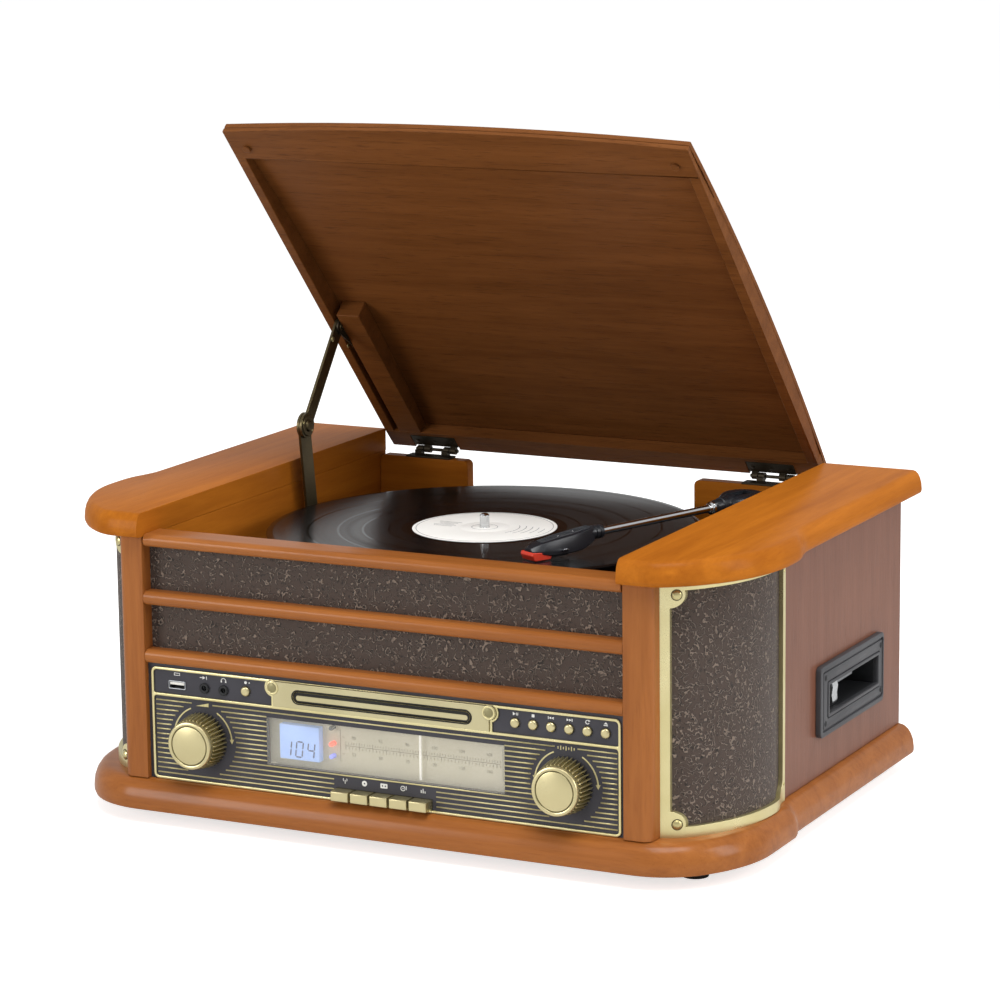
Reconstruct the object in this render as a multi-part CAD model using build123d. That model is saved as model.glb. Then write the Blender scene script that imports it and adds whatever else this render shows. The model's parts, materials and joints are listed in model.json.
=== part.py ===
from build123d import *
from math import acos, atan2, cos, degrees, radians, sin
import os

# Stereo music centre in a wooden cabinet: record deck under a hinged lid, disc player,
# radio with a dial, cassette slot in the right side. Millimetres, X to the right,
# Y from front to rear, Z up. Y is counted here from the front of the control panel's
# brass frame; every finished piece is moved so that the origin lies under the middle
# of the whole object, on the surface that the feet stand on.

# ---- cabinet ----
foot_height = 10.0
foot_radius = 10.0
foot_out = 32.5
foot_front_y = 39.0
foot_rear_y = 305.0
base_height = 21.0
body_height = 167.0
top_board_height = 16.3
cabinet_rear_y = 340.0
well_half_width = 175.5
inner_wall = 12.0
side_panel_out = 58.5
side_panel_wall = 12.0
side_panel_front_y = 123.0
pillar_width = 19.5
pillar_depth = 24.0
pillar_front_y = -3.0
pillar_rounding = 7.0
inner_wall_drop = 54.0
ledge_width = 6.0
rear_wall_depth = 10.0
post_height = 30.0
post_left_width = 73.5
post_right_width = 95.5
back_cover_wall = 4.0
fit_gap = 0.3
curved_seat = 0.1

# Plan outlines: a straight front, a corner arc, a flatter cheek arc, a straight bulge
# and a shallow S-step back to the straight rear side.
base_form = {"front": -10.5, "corner_out": 8.5, "corner_r": 56.8, "corner_deg": 48.9,
             "cheek_r": 91.2, "bulge_end": 108.8, "step_r": 16.4, "rear_out": 69.8}
board_form = {"front": -10.5, "corner_out": 18.3, "corner_r": 27.0, "corner_deg": 34.0,
              "cheek_r": 106.0, "bulge_end": 93.0, "step_r": 59.5, "rear_out": 73.6}
grille_form = {"front": 9.3, "corner_out": 9.7, "corner_r": 40.0, "corner_deg": 50.0,
               "cheek_r": 108.0, "bulge_end": 95.0, "step_r": 32.0, "rear_out": 60.0}
base_edge_width = 11.0
base_edge_height = 16.0
board_edge_width = 6.5
board_edge_height = 13.0
lower_rounding = 2.5

# ---- front of the cabinet ----
rail_width = 9.3
rail_depth = 12.0
rail_rounding = 4.0
top_rail_drop = 7.0
top_rail_width = 8.5
top_rail_depth = 22.0
cloth_depth = 1.5
cloth_y = 7.5
front_board_depth = 9.0

# ---- speakers ----
grille_frame_wall = 3.0
grille_post_width = 6.0
grille_rear_width = 4.0
grille_bottom_member = 7.0
grille_top_member = 6.0
grille_corner_rounding = 10.0
tab_radius = 8.5
tab_inset = 8.8
tab_screw_shift = 3.9
screw_head_radius = 3.6
speaker_drop = 30.0
speaker_hole_radius = 33.0
speaker_flange_radius = 38.0
speaker_depth = 30.0
magnet_radius = 22.0
magnet_depth = 12.0
baffle_wall = 6.0

# ---- control panel ----
panel_height = 80.0
panel_wall = 4.0
panel_trim_inset = 1.7
panel_trim_height = 77.6
panel_trim_depth = 1.2
trim_bar = 1.8
divider_rise = 58.0
knob_inset = 40.5
knob_rise = 30.5
knob_skirt_radius = 18.2
knob_cap_radius = 16.8
knob_dish_radius = 12.2
knob_front_y = -17.5
knob_cap_depth = 4.7
knob_back_gap = 0.6
knob_ribs = 40
shaft_radius = 3.0
running_gap = 0.05
pot_radius = 12.0
pot_depth = 10.0
pot_y = 9.0
button_radius = 3.3
button_rise = 67.5
record_button_inset = 74.7
first_button_inset = 76.5
button_pitch = 12.8
button_proud = 2.2
button_back_y = 9.0
button_flange_radius = 4.6
button_flange_depth = 1.2
button_hole_gap = 0.2
button_travel = 1.0
switch_gap = 0.3
switch_half = 3.0
front_board_gap = 14.4
key_count = 5
key_pitch = 14.5
key_middle_x = 2.4
key_width = 12.8
key_height = 6.6
key_rise = 2.3
key_front_y = -8.0
key_back_y = 12.0
key_travel = 4.0
key_bank_y = 8.0
key_bank_depth = 12.0
usb_inset = 21.5
socket_rise = 66.3
usb_width = 13.1
usb_height = 5.7
usb_wall = 0.55
usb_tongue_width = 10.6
usb_depth = 13.8
aux_inset = 42.9
headphone_inset = 57.7
jack_bore_radius = 1.8
jack_barrel_radius = 3.0
jack_nut_radius = 4.2
jack_depth = 14.6
window_left_x = -85.5
window_right_x = 91.0
window_rise = 19.0
window_height = 32.5
window_depth = 2.0
window_proud = 0.3
window_gap = 0.1
scale_y = 9.2
scale_margin = 2.0
lcd_x = -77.1
lcd_width = 30.0
lcd_rise = 23.8
lcd_height = 23.6
led_x = -38.8
led_rises = (28.4, 36.8, 47.8)
led_radius = 1.6
pointer_x = 27.0
pointer_width = 1.4
pointer_y = 6.6
dial_rail_radius = 1.5
dial_rail_rise = 56.0
carrier_width = 9.0

# ---- disc player ----
fascia_left_x = -79.0
fascia_right_x = 81.0
fascia_rise = 60.0
fascia_height = 17.0
fascia_proud = 1.0
fascia_ear_radius = 5.0
fascia_ears_x = (-79.4, 81.0)
fascia_screw_rise = 72.5
slot_left_x = -64.0
slot_right_x = 68.0
slot_rise = 63.9
slot_height = 8.2
tray_gap = 0.7
tray_proud = 0.6
tray_depth = 140.0
tray_plate_height = 4.0
disc_radius = 60.5
disc_recess_depth = 1.6
player_margin = 5.0
player_wall = 2.0
player_front_y = 13.0
player_height = 22.6
player_rise = 57.0
carriage_radius = 13.0

# ---- record deck ----
deck_drop = 32.0
deck_wall = 3.0
record_x = -7.0
record_y = 170.0
record_radius = 150.5
record_drop = 12.7
record_thickness = 1.9
label_radius = 50.0
label_proud = 0.2
mat_thickness = 2.2
platter_radius = 140.0
platter_wall = 3.0
platter_skirt = 10.0
sub_ring_radius = 90.0
sub_ring_drop = 9.0
hub_radius = 12.0
hub_drop = 12.0
spindle_radius = 3.55
spindle_proud = 9.8
spindle_tip_radius = 3.35
bearing_radius = 9.0
bearing_depth = 22.0
pulley_radius = 6.0
pulley_height = 8.0
pulley_angle = 205.0
motor_radius = 17.0
motor_height = 26.0
motor_shaft_radius = 1.2
belt_wall = 1.0
belt_run = 9.0
belt_height = 4.0
stay_slot_width = 16.0
stay_slot_front_y = 114.0
stay_slot_rear_y = 236.0

# ---- tonearm ----
arm_inset = 28.1
arm_y = 260.9
arm_rise = 0.8
arm_base_radius = 18.5
arm_base_drop = 9.0
arm_hub_radius = 17.4
arm_hub_rise = 7.3
arm_hub_dome = 6.5
arm_post_radius = 5.0
arm_post_depth = 20.0
arm_reach = 133.4
arm_aim = (-50.9, -123.3)
arm_tube_radius = 2.7
arm_head_drop = 0.5
head_tip_from_arm = (-80.0, -179.9)
head_width = 15.0
head_height = 6.0
head_root_width = 10.0
collar_radius = 4.6
collar_length = 12.0
cartridge_height = 5.0
guard_length = 15.5
stylus_gap = 0.3
park_deg = 22.0
rest_reach = 112.0
rest_radius = 2.5

# ---- lid, hinges and stay ----
lid_side_gap = 2.9
lid_open_deg = 47.2
lid_front_y = -4.4
lid_front_bow = 8.0
lid_clearance = 2.0
lid_front_thick = 6.5
lid_mid_thick = 17.5
lid_rear_thick = 12.0
lid_skin = 4.0
lid_front_rail = 27.0
lid_rear_rail = 18.0
lid_side_rail = 7.2
lid_overhang = 0.2
lid_pad_radius = 3.0
batten_inset = 14.5
batten_width = 18.4
batten_length = 136.4
hinge_y = 345.6
hinge_drop = 1.5
hinge_pin_radius = 1.2
hinge_barrel_radius = 2.6
hinge_leaf_wall = 1.2
hinge_leaf_depth = 11.0
hinge_block_insets = ((56.5, 46.5), (35.5, 24.5))
stay_inset = 8.5
stay_wall = 2.0
stay_gap = 0.3
stay_elbow_y = 200.7
stay_elbow_rise = 42.5
stay_foot_y = 211.7
stay_foot_drop = 40.7
stay_lid_reach = 142.0
stay_lid_rise = 1.0
stay_lower_width = 15.0
stay_upper_width = 11.0
stay_disc_radius = 9.2
stay_pin_radius = 2.0
stay_dome_radius = 4.2
stay_dome_height = 2.0
stay_boss_radius = 4.0
foot_plate_wall = 1.5
foot_plate_half = 9.0

# ---- cassette slot in the right side ----
cassette_front_y = 180.0
cassette_rear_y = 298.0
cassette_rise = 27.5
cassette_height = 49.0
cassette_plate = 4.0
cassette_mouth_front_y = 196.5
cassette_mouth_rear_y = 288.0
cassette_mouth_rise = 41.5
cassette_mouth_height = 20.0
cassette_well_depth = 66.0
cassette_well_wall = 2.0
cassette_recess = 1.2
lever_y = 217.0
lever_width = 5.0
lever_height = 17.5
lever_foot = 15.0
lever_set_back = 5.0
bracket_depth = 20.0
bracket_front_y = 211.0
bracket_rear_y = 262.0
bracket_drop = 8.0
spring_wall = 1.0
head_block_size = (6.0, 22.0, 13.0)

# ---- inside and rear ----
board_rise = 10.0
board_wall = 1.6
board_left_inset = 105.5
board_right_inset = 45.5
board_front_y = 190.0
board_depth = 120.0
standoff_radius = 3.5
standoff_inset = 8.0
heat_sink_height = 30.0
capacitor_radius = 9.0
transformer_size = (58.0, 48.0, 42.0)
transformer_inset = 25.5
transformer_y = 262.0
inlet_inset = 25.5
inlet_rise = 31.0
inlet_half_width = 12.0
inlet_half_height = 8.0
inlet_flange_wall = 1.5
line_out_inset = 45.5
line_out_rise = 31.0
line_out_radius = 4.15
line_out_proud = 8.0
line_out_half_pitch = 9.0
line_out_set_back = 8.0
line_out_bore_radius = 1.7

# ---- places that follow from the sizes above ----
base_top_z = foot_height + base_height
body_top_z = base_top_z + body_height
cabinet_top_z = body_top_z + top_board_height
foot_x = well_half_width + foot_out
side_panel_x = well_half_width + side_panel_out
panel_trim_half_width = well_half_width - panel_trim_inset
knob_x = well_half_width - knob_inset
record_button_x = -(well_half_width - record_button_inset)
first_button_x = well_half_width - first_button_inset
usb_x = -(well_half_width - usb_inset)
aux_x = -(well_half_width - aux_inset)
headphone_x = -(well_half_width - headphone_inset)
arm_x = well_half_width - arm_inset
lid_half_width = well_half_width - lid_side_gap
batten_x = -(well_half_width - batten_inset)
stay_x = -(well_half_width - stay_inset)
transformer_x = -(well_half_width - transformer_inset)
inlet_x = -(well_half_width - inlet_inset)
line_out_x = well_half_width - line_out_inset
deck_top_z = body_top_z - deck_drop
record_top_z = body_top_z - record_drop
arm_z = body_top_z + arm_rise
arm_base_top_z = body_top_z - arm_base_drop
arm_hub_top_z = body_top_z + arm_hub_rise
arm_head_z = body_top_z - arm_head_drop
stay_elbow_z = body_top_z + stay_elbow_rise
stay_foot_z = body_top_z - stay_foot_drop
top_rail_z = body_top_z - top_rail_drop
knob_z = base_top_z + knob_rise
button_z = base_top_z + button_rise
key_z = base_top_z + key_rise
socket_z = base_top_z + socket_rise
window_z = base_top_z + window_rise
divider_z = base_top_z + divider_rise
lcd_z = base_top_z + lcd_rise
dial_rail_z = base_top_z + dial_rail_rise
fascia_z = base_top_z + fascia_rise
fascia_screw_z = base_top_z + fascia_screw_rise
slot_z = base_top_z + slot_rise
player_base_z = base_top_z + player_rise
board_z = base_top_z + board_rise
inlet_z = base_top_z + inlet_rise
line_out_z = base_top_z + line_out_rise
cassette_z = base_top_z + cassette_rise
cassette_mouth_z = base_top_z + cassette_mouth_rise
panel_top_z = base_top_z + panel_height
rail_heights = (panel_top_z, (panel_top_z + top_rail_z) / 2)
pillar_x = well_half_width + 1.0
hinge_blocks = [(well_half_width - a, well_half_width - b) for a, b in hinge_block_insets]
post_inner_left_x = -(well_half_width - post_left_width)
post_inner_right_x = well_half_width - post_right_width
inner_wall_z = body_top_z - inner_wall_drop
speaker_centre_z = inner_wall_z - speaker_drop
top_rail_top_z = top_rail_z + top_rail_width
lid_under_z = top_rail_top_z + lid_clearance
hinge_z = lid_under_z - hinge_drop
lid_rear_y = hinge_y + lid_overhang
deck_under_z = deck_top_z - deck_wall
panel_face_y = panel_trim_depth
panel_back_y = panel_face_y + panel_wall
rear_wall_y = cabinet_rear_y - rear_wall_depth
pieces = {}


def block(x0, x1, y0, y1, z0, z1):
    centre = Pos((x0 + x1) / 2, (y0 + y1) / 2, (z0 + z1) / 2)
    return centre * Box(x1 - x0, y1 - y0, z1 - z0)


def rod(radius, start, end):
    run = Vector(*end) - Vector(*start)
    place = Plane(origin=start, z_dir=run)
    return place * Cylinder(radius, run.length, align=(Align.CENTER, Align.CENTER, Align.MIN))


def both_sides(shape):
    return [shape, mirror(shape, about=Plane.YZ)]


def plate_along_x(x0, x1, outline):
    """A plate cut to a closed outline of (Y, Z) points and arcs, from x0 to x1."""
    return extrude(Plane.YZ.offset(x0) * outline, x1 - x0)


# ---- plan outlines ----
def cheek_curve(form, inset, end_y):
    """The right half of an outline, from its front corner to the straight side."""
    turn = radians(form["corner_deg"])
    out = Vector(sin(turn), -cos(turn))
    rear_x = well_half_width + form["rear_out"]
    corner = Vector(well_half_width + form["corner_out"], form["front"] + form["corner_r"])
    cheek = corner - out * (form["cheek_r"] - form["corner_r"])
    widest = cheek.X + form["cheek_r"]
    step = max(widest - rear_x, 0.5)
    bend = acos(1 - step / (2 * form["step_r"]))
    hollow_out = Vector(cos(bend), sin(bend))
    shoulder = Vector(widest - form["step_r"], form["bulge_end"])
    hollow = shoulder + hollow_out * (2 * form["step_r"])

    def arc(centre, radius, a0, a1):
        middle = (a0 + a1) / 2
        marks = [centre + Vector(cos(a), sin(a)) * radius for a in (a0, middle, a1)]
        return ThreePointArc(*marks)

    front_arc = arc(corner, form["corner_r"] - inset, radians(-90), turn - radians(90))
    cheek_arc = arc(cheek, form["cheek_r"] - inset, turn - radians(90), 0)
    bulge = Line(cheek_arc @ 1, (widest - inset, form["bulge_end"]))
    step_out = arc(shoulder, form["step_r"] - inset, 0, bend)
    step_in = arc(hollow, form["step_r"] + inset, bend + radians(180), radians(180))
    side = Line(step_in @ 1, (rear_x - inset, end_y))
    return [front_arc, cheek_arc, bulge, step_out, step_in, side]


def board_face(form, inset, inner_x, z):
    """The area inside the right half of an outline, from inner_x outwards."""
    curve = cheek_curve(form, inset, cabinet_rear_y)
    front = Line((inner_x, form["front"] + inset), curve[0] @ 0)
    rear = Line(curve[-1] @ 1, (inner_x, cabinet_rear_y))
    inner = Line(rear @ 1, front @ 0)
    return Pos(0, 0, z) * make_face([front, *curve, rear, inner])


def moulded_board(form, inner_x, z0, z1, edge_width, edge_height):
    """A board whose front and side edge is rounded: a quarter ellipse above, a small arc below."""
    low_steps = [(lower_rounding * (1 - sin(radians(a))), z0 + lower_rounding * (1 - cos(radians(a))))
                 for a in (0, 45, 90)]
    high_steps = [(edge_width * (1 - cos(radians(a))), z1 - edge_height * (1 - sin(radians(a))))
                  for a in (0, 18, 36, 54, 72, 90)]
    levels = low_steps + high_steps
    slabs = []
    for (inset_a, za), (inset_b, zb) in zip(levels, levels[1:]):
        lower = board_face(form, inset_a, inner_x, za)
        upper = board_face(form, inset_b, inner_x, zb)
        slabs.append(loft([lower, upper], ruled=True))
    board = slabs[0]
    for slab in slabs[1:]:
        board += slab
    return board


def band(form, outer_inset, wall, start_x, end_y, z0, z1):
    """A curved wall that follows the cheek of an outline, from start_x round to end_y."""
    outer = board_face(form, outer_inset, well_half_width, z0)
    inner = board_face(form, outer_inset + wall, well_half_width - 1, z0)
    ring = extrude(outer, z1 - z0) - extrude(inner, z1 - z0)
    return ring & block(start_x, side_panel_x + 50, -50, end_y, z0, z1)


# ---- cabinet ----
half_base = moulded_board(base_form, 0, foot_height, base_top_z, base_edge_width, base_edge_height)
pieces["base_plinth"] = half_base + mirror(half_base, about=Plane.YZ)


def rubber_foot(x, y):
    return Pos(x, y, foot_height / 2) * Cone(foot_radius - 1.2, foot_radius, foot_height)


pieces["rubber_feet"] = [rubber_foot(x, y) for x in (-foot_x, foot_x) for y in (foot_front_y, foot_rear_y)]

well_y = cassette_mouth_front_y - cassette_well_wall
well_rear_y = cassette_mouth_rear_y + cassette_well_wall
well_z = cassette_mouth_z - cassette_well_wall
well_top_z = cassette_mouth_z + cassette_mouth_height + cassette_well_wall
side_panel = block(side_panel_x - side_panel_wall, side_panel_x, side_panel_front_y, cabinet_rear_y,
                   base_top_z, body_top_z)
cassette_cut = block(side_panel_x - side_panel_wall, side_panel_x, well_y - fit_gap,
                     well_rear_y + fit_gap, well_z - fit_gap, well_top_z + fit_gap)
pieces["side_panels"] = [mirror(side_panel, about=Plane.YZ), side_panel - cassette_cut]

pillar_edge_x = pillar_x + pillar_width
pillar_rear_y = pillar_front_y + pillar_depth
pillar = block(pillar_x, pillar_edge_x, pillar_front_y, pillar_rear_y, base_top_z, body_top_z)
pillar = fillet(pillar.edges().filter_by(Axis.Z).group_by(Axis.Y)[0].sort_by(Axis.X)[-1], pillar_rounding)
pieces["front_pillars"] = both_sides(pillar)

inner_wall_x = well_half_width + inner_wall
wall_board = block(well_half_width, inner_wall_x, pillar_rear_y, cabinet_rear_y, inner_wall_z, body_top_z)
ledge = block(well_half_width - ledge_width, well_half_width, pillar_rear_y, rear_wall_y,
              inner_wall_z, deck_under_z)
ledge_break = block(well_half_width - ledge_width, well_half_width, stay_slot_front_y,
                    stay_slot_rear_y, inner_wall_z, deck_under_z)
pieces["inner_walls"] = both_sides(wall_board + (ledge - ledge_break))

top_board = moulded_board(board_form, well_half_width, body_top_z, cabinet_top_z,
                          board_edge_width, board_edge_height)
pieces["top_boards"] = both_sides(top_board)


def rail(z, width, depth):
    body = block(-pillar_x, pillar_x, pillar_front_y, pillar_front_y + depth, z, z + width)
    front_edges = body.edges().filter_by(Axis.X).group_by(Axis.Y)[0]
    return fillet(front_edges, rail_rounding)


top_rail = rail(top_rail_z, top_rail_width, top_rail_depth)
top_rail &= block(-well_half_width, well_half_width, -50, 50, top_rail_z, body_top_z + 10)
pieces["front_rails"] = [rail(z, rail_width, rail_depth) for z in rail_heights] + [top_rail]

front_board_y = pillar_front_y + rail_depth
front_board = block(-pillar_x, pillar_x, front_board_y, front_board_y + front_board_depth,
                    rail_heights[0], top_rail_z)

rear_wall_z = inner_wall_z
post_top_z = hinge_z - hinge_barrel_radius - 1.0
rear_wall_top_z = post_top_z - post_height
rear_wall_half = well_half_width - fit_gap
rear_wall = block(-rear_wall_half, rear_wall_half, rear_wall_y, cabinet_rear_y, rear_wall_z, post_top_z)
rear_notch = block(post_inner_left_x, post_inner_right_x, rear_wall_y, cabinet_rear_y,
                   rear_wall_top_z, post_top_z)
rear_wall -= rear_notch
post_corners = rear_wall.edges().filter_by(Axis.Y).group_by(Axis.Z)[-1]
rear_wall = fillet(post_corners, 4.0)
rear_filler = block(inner_wall_x, side_panel_x - side_panel_wall, rear_wall_y, cabinet_rear_y,
                    rear_wall_z, body_top_z)
pieces["rear_wall"] = [rear_wall, *both_sides(rear_filler)]

back_half = side_panel_x - side_panel_wall
back_y = cabinet_rear_y - back_cover_wall
back_cover = block(-back_half, back_half, back_y, cabinet_rear_y, base_top_z, rear_wall_z)
vent_length = 44.0
for column in (-60.0, 0.0, 60.0):
    for row in range(5):
        z = rear_wall_z - 40.0 + 7.0 * row
        back_cover -= block(column - vent_length / 2, column + vent_length / 2, back_y,
                            cabinet_rear_y, z, z + 2.4)
inlet_hole = block(inlet_x - inlet_half_width, inlet_x + inlet_half_width, back_y, cabinet_rear_y,
                   inlet_z - inlet_half_height, inlet_z + inlet_half_height)
back_cover -= inlet_hole
for dx in (-line_out_half_pitch, line_out_half_pitch):
    back_cover -= rod(line_out_radius + 1.0, (line_out_x + dx, back_y, line_out_z),
                      (line_out_x + dx, cabinet_rear_y, line_out_z))
pieces["back_cover"] = back_cover

# ---- speakers in the curved front corners ----
grille_z = base_top_z
grille_top_z = body_top_z
frame_shell = band(grille_form, 0, grille_frame_wall, pillar_edge_x, side_panel_front_y,
                   grille_z, grille_top_z)
opening = band(grille_form, -1, grille_frame_wall + 2, pillar_edge_x + grille_post_width,
               side_panel_front_y - grille_rear_width, grille_z + grille_bottom_member,
               grille_top_z - grille_top_member)
window_gauge = block(pillar_edge_x, side_panel_x + 50, -50, side_panel_front_y - grille_rear_width,
                     grille_z + grille_bottom_member, grille_top_z + 50)
lower_rear_edge = window_gauge.edges().filter_by(Axis.X).group_by(Axis.Z)[0].sort_by(Axis.Y)[-1]
opening &= fillet(lower_rear_edge, grille_corner_rounding)
tab_x = pillar_edge_x + grille_post_width
tab_heights = (grille_z + tab_inset, grille_top_z - tab_inset)
for z in tab_heights:
    opening -= rod(tab_radius, (tab_x, -20, z), (tab_x, 60, z))
speaker_frame = frame_shell - opening
pieces["speaker_frames"] = both_sides(speaker_frame)

corner_cloth = band(grille_form, grille_frame_wall + curved_seat, cloth_depth, pillar_edge_x,
                    side_panel_front_y, grille_z, grille_top_z)
flat_cloths = [block(-pillar_x, pillar_x, front_board_y - cloth_depth, front_board_y,
                     z + rail_width, above)
               for z, above in zip(rail_heights, (rail_heights[1], top_rail_z))]
pieces["grille_cloths"] = flat_cloths + both_sides(corner_cloth)


def screw(x, y, z, radius, drive):
    """A round-headed screw seen from the front, with a cross recess."""
    head = Pos(x, y, z) * Rot(90, 0, 0) * Cylinder(radius, 1.6)
    head = chamfer(head.edges().group_by(Axis.Y)[0], 0.5)
    for angle in (0, 90):
        head -= Pos(x, y - 0.8, z) * Rot(0, angle + 45, 0) * Box(drive, 1.0, 0.8)
    return head


screw_x = tab_x + tab_screw_shift
grille_corner_x = well_half_width + grille_form["corner_out"]
corner_centre_y = grille_form["front"] + grille_form["corner_r"]
screw_offset = screw_x - grille_corner_x
screw_y = corner_centre_y - (grille_form["corner_r"] ** 2 - screw_offset ** 2) ** 0.5
screw_turn = degrees(atan2(screw_offset, corner_centre_y - screw_y))
frame_screws = []
for z in tab_heights:
    frame_screw = screw(0, -0.8, 0, screw_head_radius, 4.4)
    turned_screw = Pos(screw_x, screw_y, z) * Rot(0, 0, screw_turn) * frame_screw
    frame_screws += both_sides(turned_screw)

baffle_start = Vector(pillar_edge_x + baffle_wall / 2 + 0.5, pillar_rear_y + 1)
baffle_end = Vector(side_panel_x - 9, side_panel_front_y - 5)
baffle_run = baffle_end - baffle_start
baffle_turn = degrees(atan2(baffle_run.Y, baffle_run.X))
baffle_middle = (baffle_start + baffle_end) * 0.5
baffle_place = Pos(baffle_middle.X, baffle_middle.Y, speaker_centre_z) * Rot(0, 0, baffle_turn)
# In the baffle's own frame X runs along it and -Y faces the cloth.
baffle_rise = base_top_z + body_height / 2 - speaker_centre_z
baffle = Pos(0, 0, baffle_rise) * Box(baffle_run.length, baffle_wall, body_height)
baffle -= rod(speaker_hole_radius, (0, -baffle_wall, 0), (0, baffle_wall, 0))
baffle = baffle_place * baffle
pieces["baffle_boards"] = [front_board, *both_sides(baffle)]


def speaker_driver():
    """Flange, cone and magnet of one loudspeaker, facing -Y with its flange on y = 0."""
    flange = rod(speaker_flange_radius, (0, -2, 0), (0, 0, 0))
    flange -= rod(speaker_hole_radius - 3, (0, -2, 0), (0, 0, 0))
    basket_depth = speaker_depth - 4
    basket = Rot(-90, 0, 0) * Cone(speaker_hole_radius - 1, magnet_radius, basket_depth)
    cavity = Rot(-90, 0, 0) * Cone(speaker_hole_radius - 3, magnet_radius - 5, basket_depth)
    basket = Pos(0, basket_depth / 2, 0) * basket - Pos(0, basket_depth / 2 - 1, 0) * cavity
    cone = Pos(0, 8, 0) * Rot(-90, 0, 0) * Cone(speaker_hole_radius - 4.5, 9, 14)
    cone -= Pos(0, 7, 0) * Rot(-90, 0, 0) * Cone(speaker_hole_radius - 4.5, 8, 14)
    magnet = rod(magnet_radius, (0, speaker_depth - 4, 0), (0, speaker_depth - 4 + magnet_depth, 0))
    return [flange + basket, cone, magnet]


driver_place = baffle_place * Pos(0, -baffle_wall / 2, 0)
drivers = [driver_place * piece for piece in speaker_driver()]
pieces["speaker_drivers"] = [side for piece in drivers for side in both_sides(piece)]

# ---- control panel ----
panel_half = pillar_x
panel = block(-panel_half, panel_half, panel_face_y, panel_back_y, base_top_z, base_top_z + panel_height)
window_cut = block(window_left_x, window_right_x, panel_face_y, panel_back_y,
                   window_z, window_z + window_height)
slot_cut = block(slot_left_x - tray_gap, slot_right_x + tray_gap, panel_face_y, panel_back_y,
                 slot_z - tray_gap, slot_z + slot_height + tray_gap)
panel -= window_cut
panel -= slot_cut
key_first_x = key_middle_x - key_pitch * (key_count - 1) / 2
keys_left_x = key_first_x - key_width / 2
keys_right_x = key_first_x + key_pitch * (key_count - 1) + key_width / 2
panel -= block(keys_left_x - fit_gap, keys_right_x + fit_gap, panel_face_y, panel_back_y,
               key_z - fit_gap, key_z + key_height + fit_gap)
for x in (-knob_x, knob_x):
    panel -= rod(shaft_radius + 0.6, (x, panel_face_y, knob_z), (x, panel_back_y, knob_z))
button_xs = [record_button_x] + [first_button_x + button_pitch * i for i in range(6)]
for x in button_xs:
    panel -= rod(button_radius + button_hole_gap, (x, panel_face_y, button_z), (x, panel_back_y, button_z))
for x in (aux_x, headphone_x):
    panel -= rod(jack_barrel_radius, (x, panel_face_y, socket_z), (x, panel_back_y, socket_z))
panel -= block(usb_x - usb_width / 2, usb_x + usb_width / 2, panel_face_y, panel_back_y,
               socket_z - usb_height / 2, socket_z + usb_height / 2)
rail_left_x = window_left_x - 6
rail_right_x = window_right_x + 6
for x0, x1 in ((rail_left_x - 3, rail_left_x), (rail_right_x, rail_right_x + 3)):
    panel += block(x0, x1, panel_back_y, scale_y + 3, dial_rail_z - 3.2, dial_rail_z + 1.0)
pieces["control_panel"] = panel

trim_outer = block(-panel_trim_half_width, panel_trim_half_width, 0, panel_trim_depth,
                   base_top_z + 0.2, base_top_z + 0.2 + panel_trim_height)
trim_inner = block(-panel_trim_half_width + trim_bar, panel_trim_half_width - trim_bar, 0, panel_trim_depth,
                   base_top_z + 0.2 + trim_bar, base_top_z + 0.2 + panel_trim_height - trim_bar)
fascia_clear = block(fascia_left_x, fascia_right_x, 0, panel_trim_depth, fascia_z, fascia_z + fascia_height)
ear_clear = [rod(fascia_ear_radius, (x, 0, fascia_screw_z), (x, panel_trim_depth, fascia_screw_z))
             for x in fascia_ears_x]
divider = block(-panel_trim_half_width + trim_bar, panel_trim_half_width - trim_bar, 0, panel_trim_depth,
                divider_z, divider_z + trim_bar)
trim = trim_outer - trim_inner + divider - fascia_clear
for ear in ear_clear:
    trim -= ear
pieces["panel_trim"] = trim

fascia = block(fascia_left_x, fascia_right_x, -fascia_proud, panel_face_y, fascia_z, fascia_z + fascia_height)
for x in fascia_ears_x:
    fascia += rod(fascia_ear_radius, (x, -fascia_proud, fascia_screw_z), (x, panel_face_y, fascia_screw_z))
slot_middle_x = (slot_left_x + slot_right_x) / 2
slot_middle_z = slot_z + slot_height / 2
slot_shape = SlotOverall(slot_right_x - slot_left_x, slot_height)
slot_place = Plane((slot_middle_x, -fascia_proud, slot_middle_z), x_dir=(1, 0, 0), z_dir=(0, 1, 0))
fascia -= extrude(slot_place * slot_shape, fascia_proud + panel_face_y)
pieces["cd_fascia"] = fascia
fascia_screws = [screw(x, -fascia_proud - 0.8, fascia_screw_z, screw_head_radius, 0.1)
                 for x in fascia_ears_x]
pieces["trim_screws"] = frame_screws + fascia_screws

window_face_y = panel_face_y - window_proud
window = block(window_left_x + window_gap, window_right_x - window_gap, window_face_y,
               window_face_y + window_depth, window_z + window_gap, window_z + window_height - window_gap)
pieces["dial_window"] = window
scale_top_z = dial_rail_z - 3.2
dial_plate = block(window_left_x - scale_margin, window_right_x + scale_margin, scale_y, scale_y + 1.5,
                   window_z - scale_margin, scale_top_z)
for x in (window_left_x + 1, window_right_x - 1):
    dial_plate += block(x - 2, x + 2, panel_back_y, scale_y, window_z - scale_margin, window_z - fit_gap)
dial_rail = rod(dial_rail_radius, (rail_left_x, scale_y, dial_rail_z), (rail_right_x, scale_y, dial_rail_z))
pieces["dial_scale"] = [dial_plate, dial_rail]

lcd = block(lcd_x, lcd_x + lcd_width, panel_face_y + window_depth + 0.4, scale_y, lcd_z, lcd_z + lcd_height)
leds = [rod(led_radius, (led_x, panel_face_y + window_depth + 0.6, base_top_z + rise),
            (led_x, scale_y, base_top_z + rise)) for rise in led_rises]
pieces["display_unit"] = [lcd, *leds]

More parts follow.
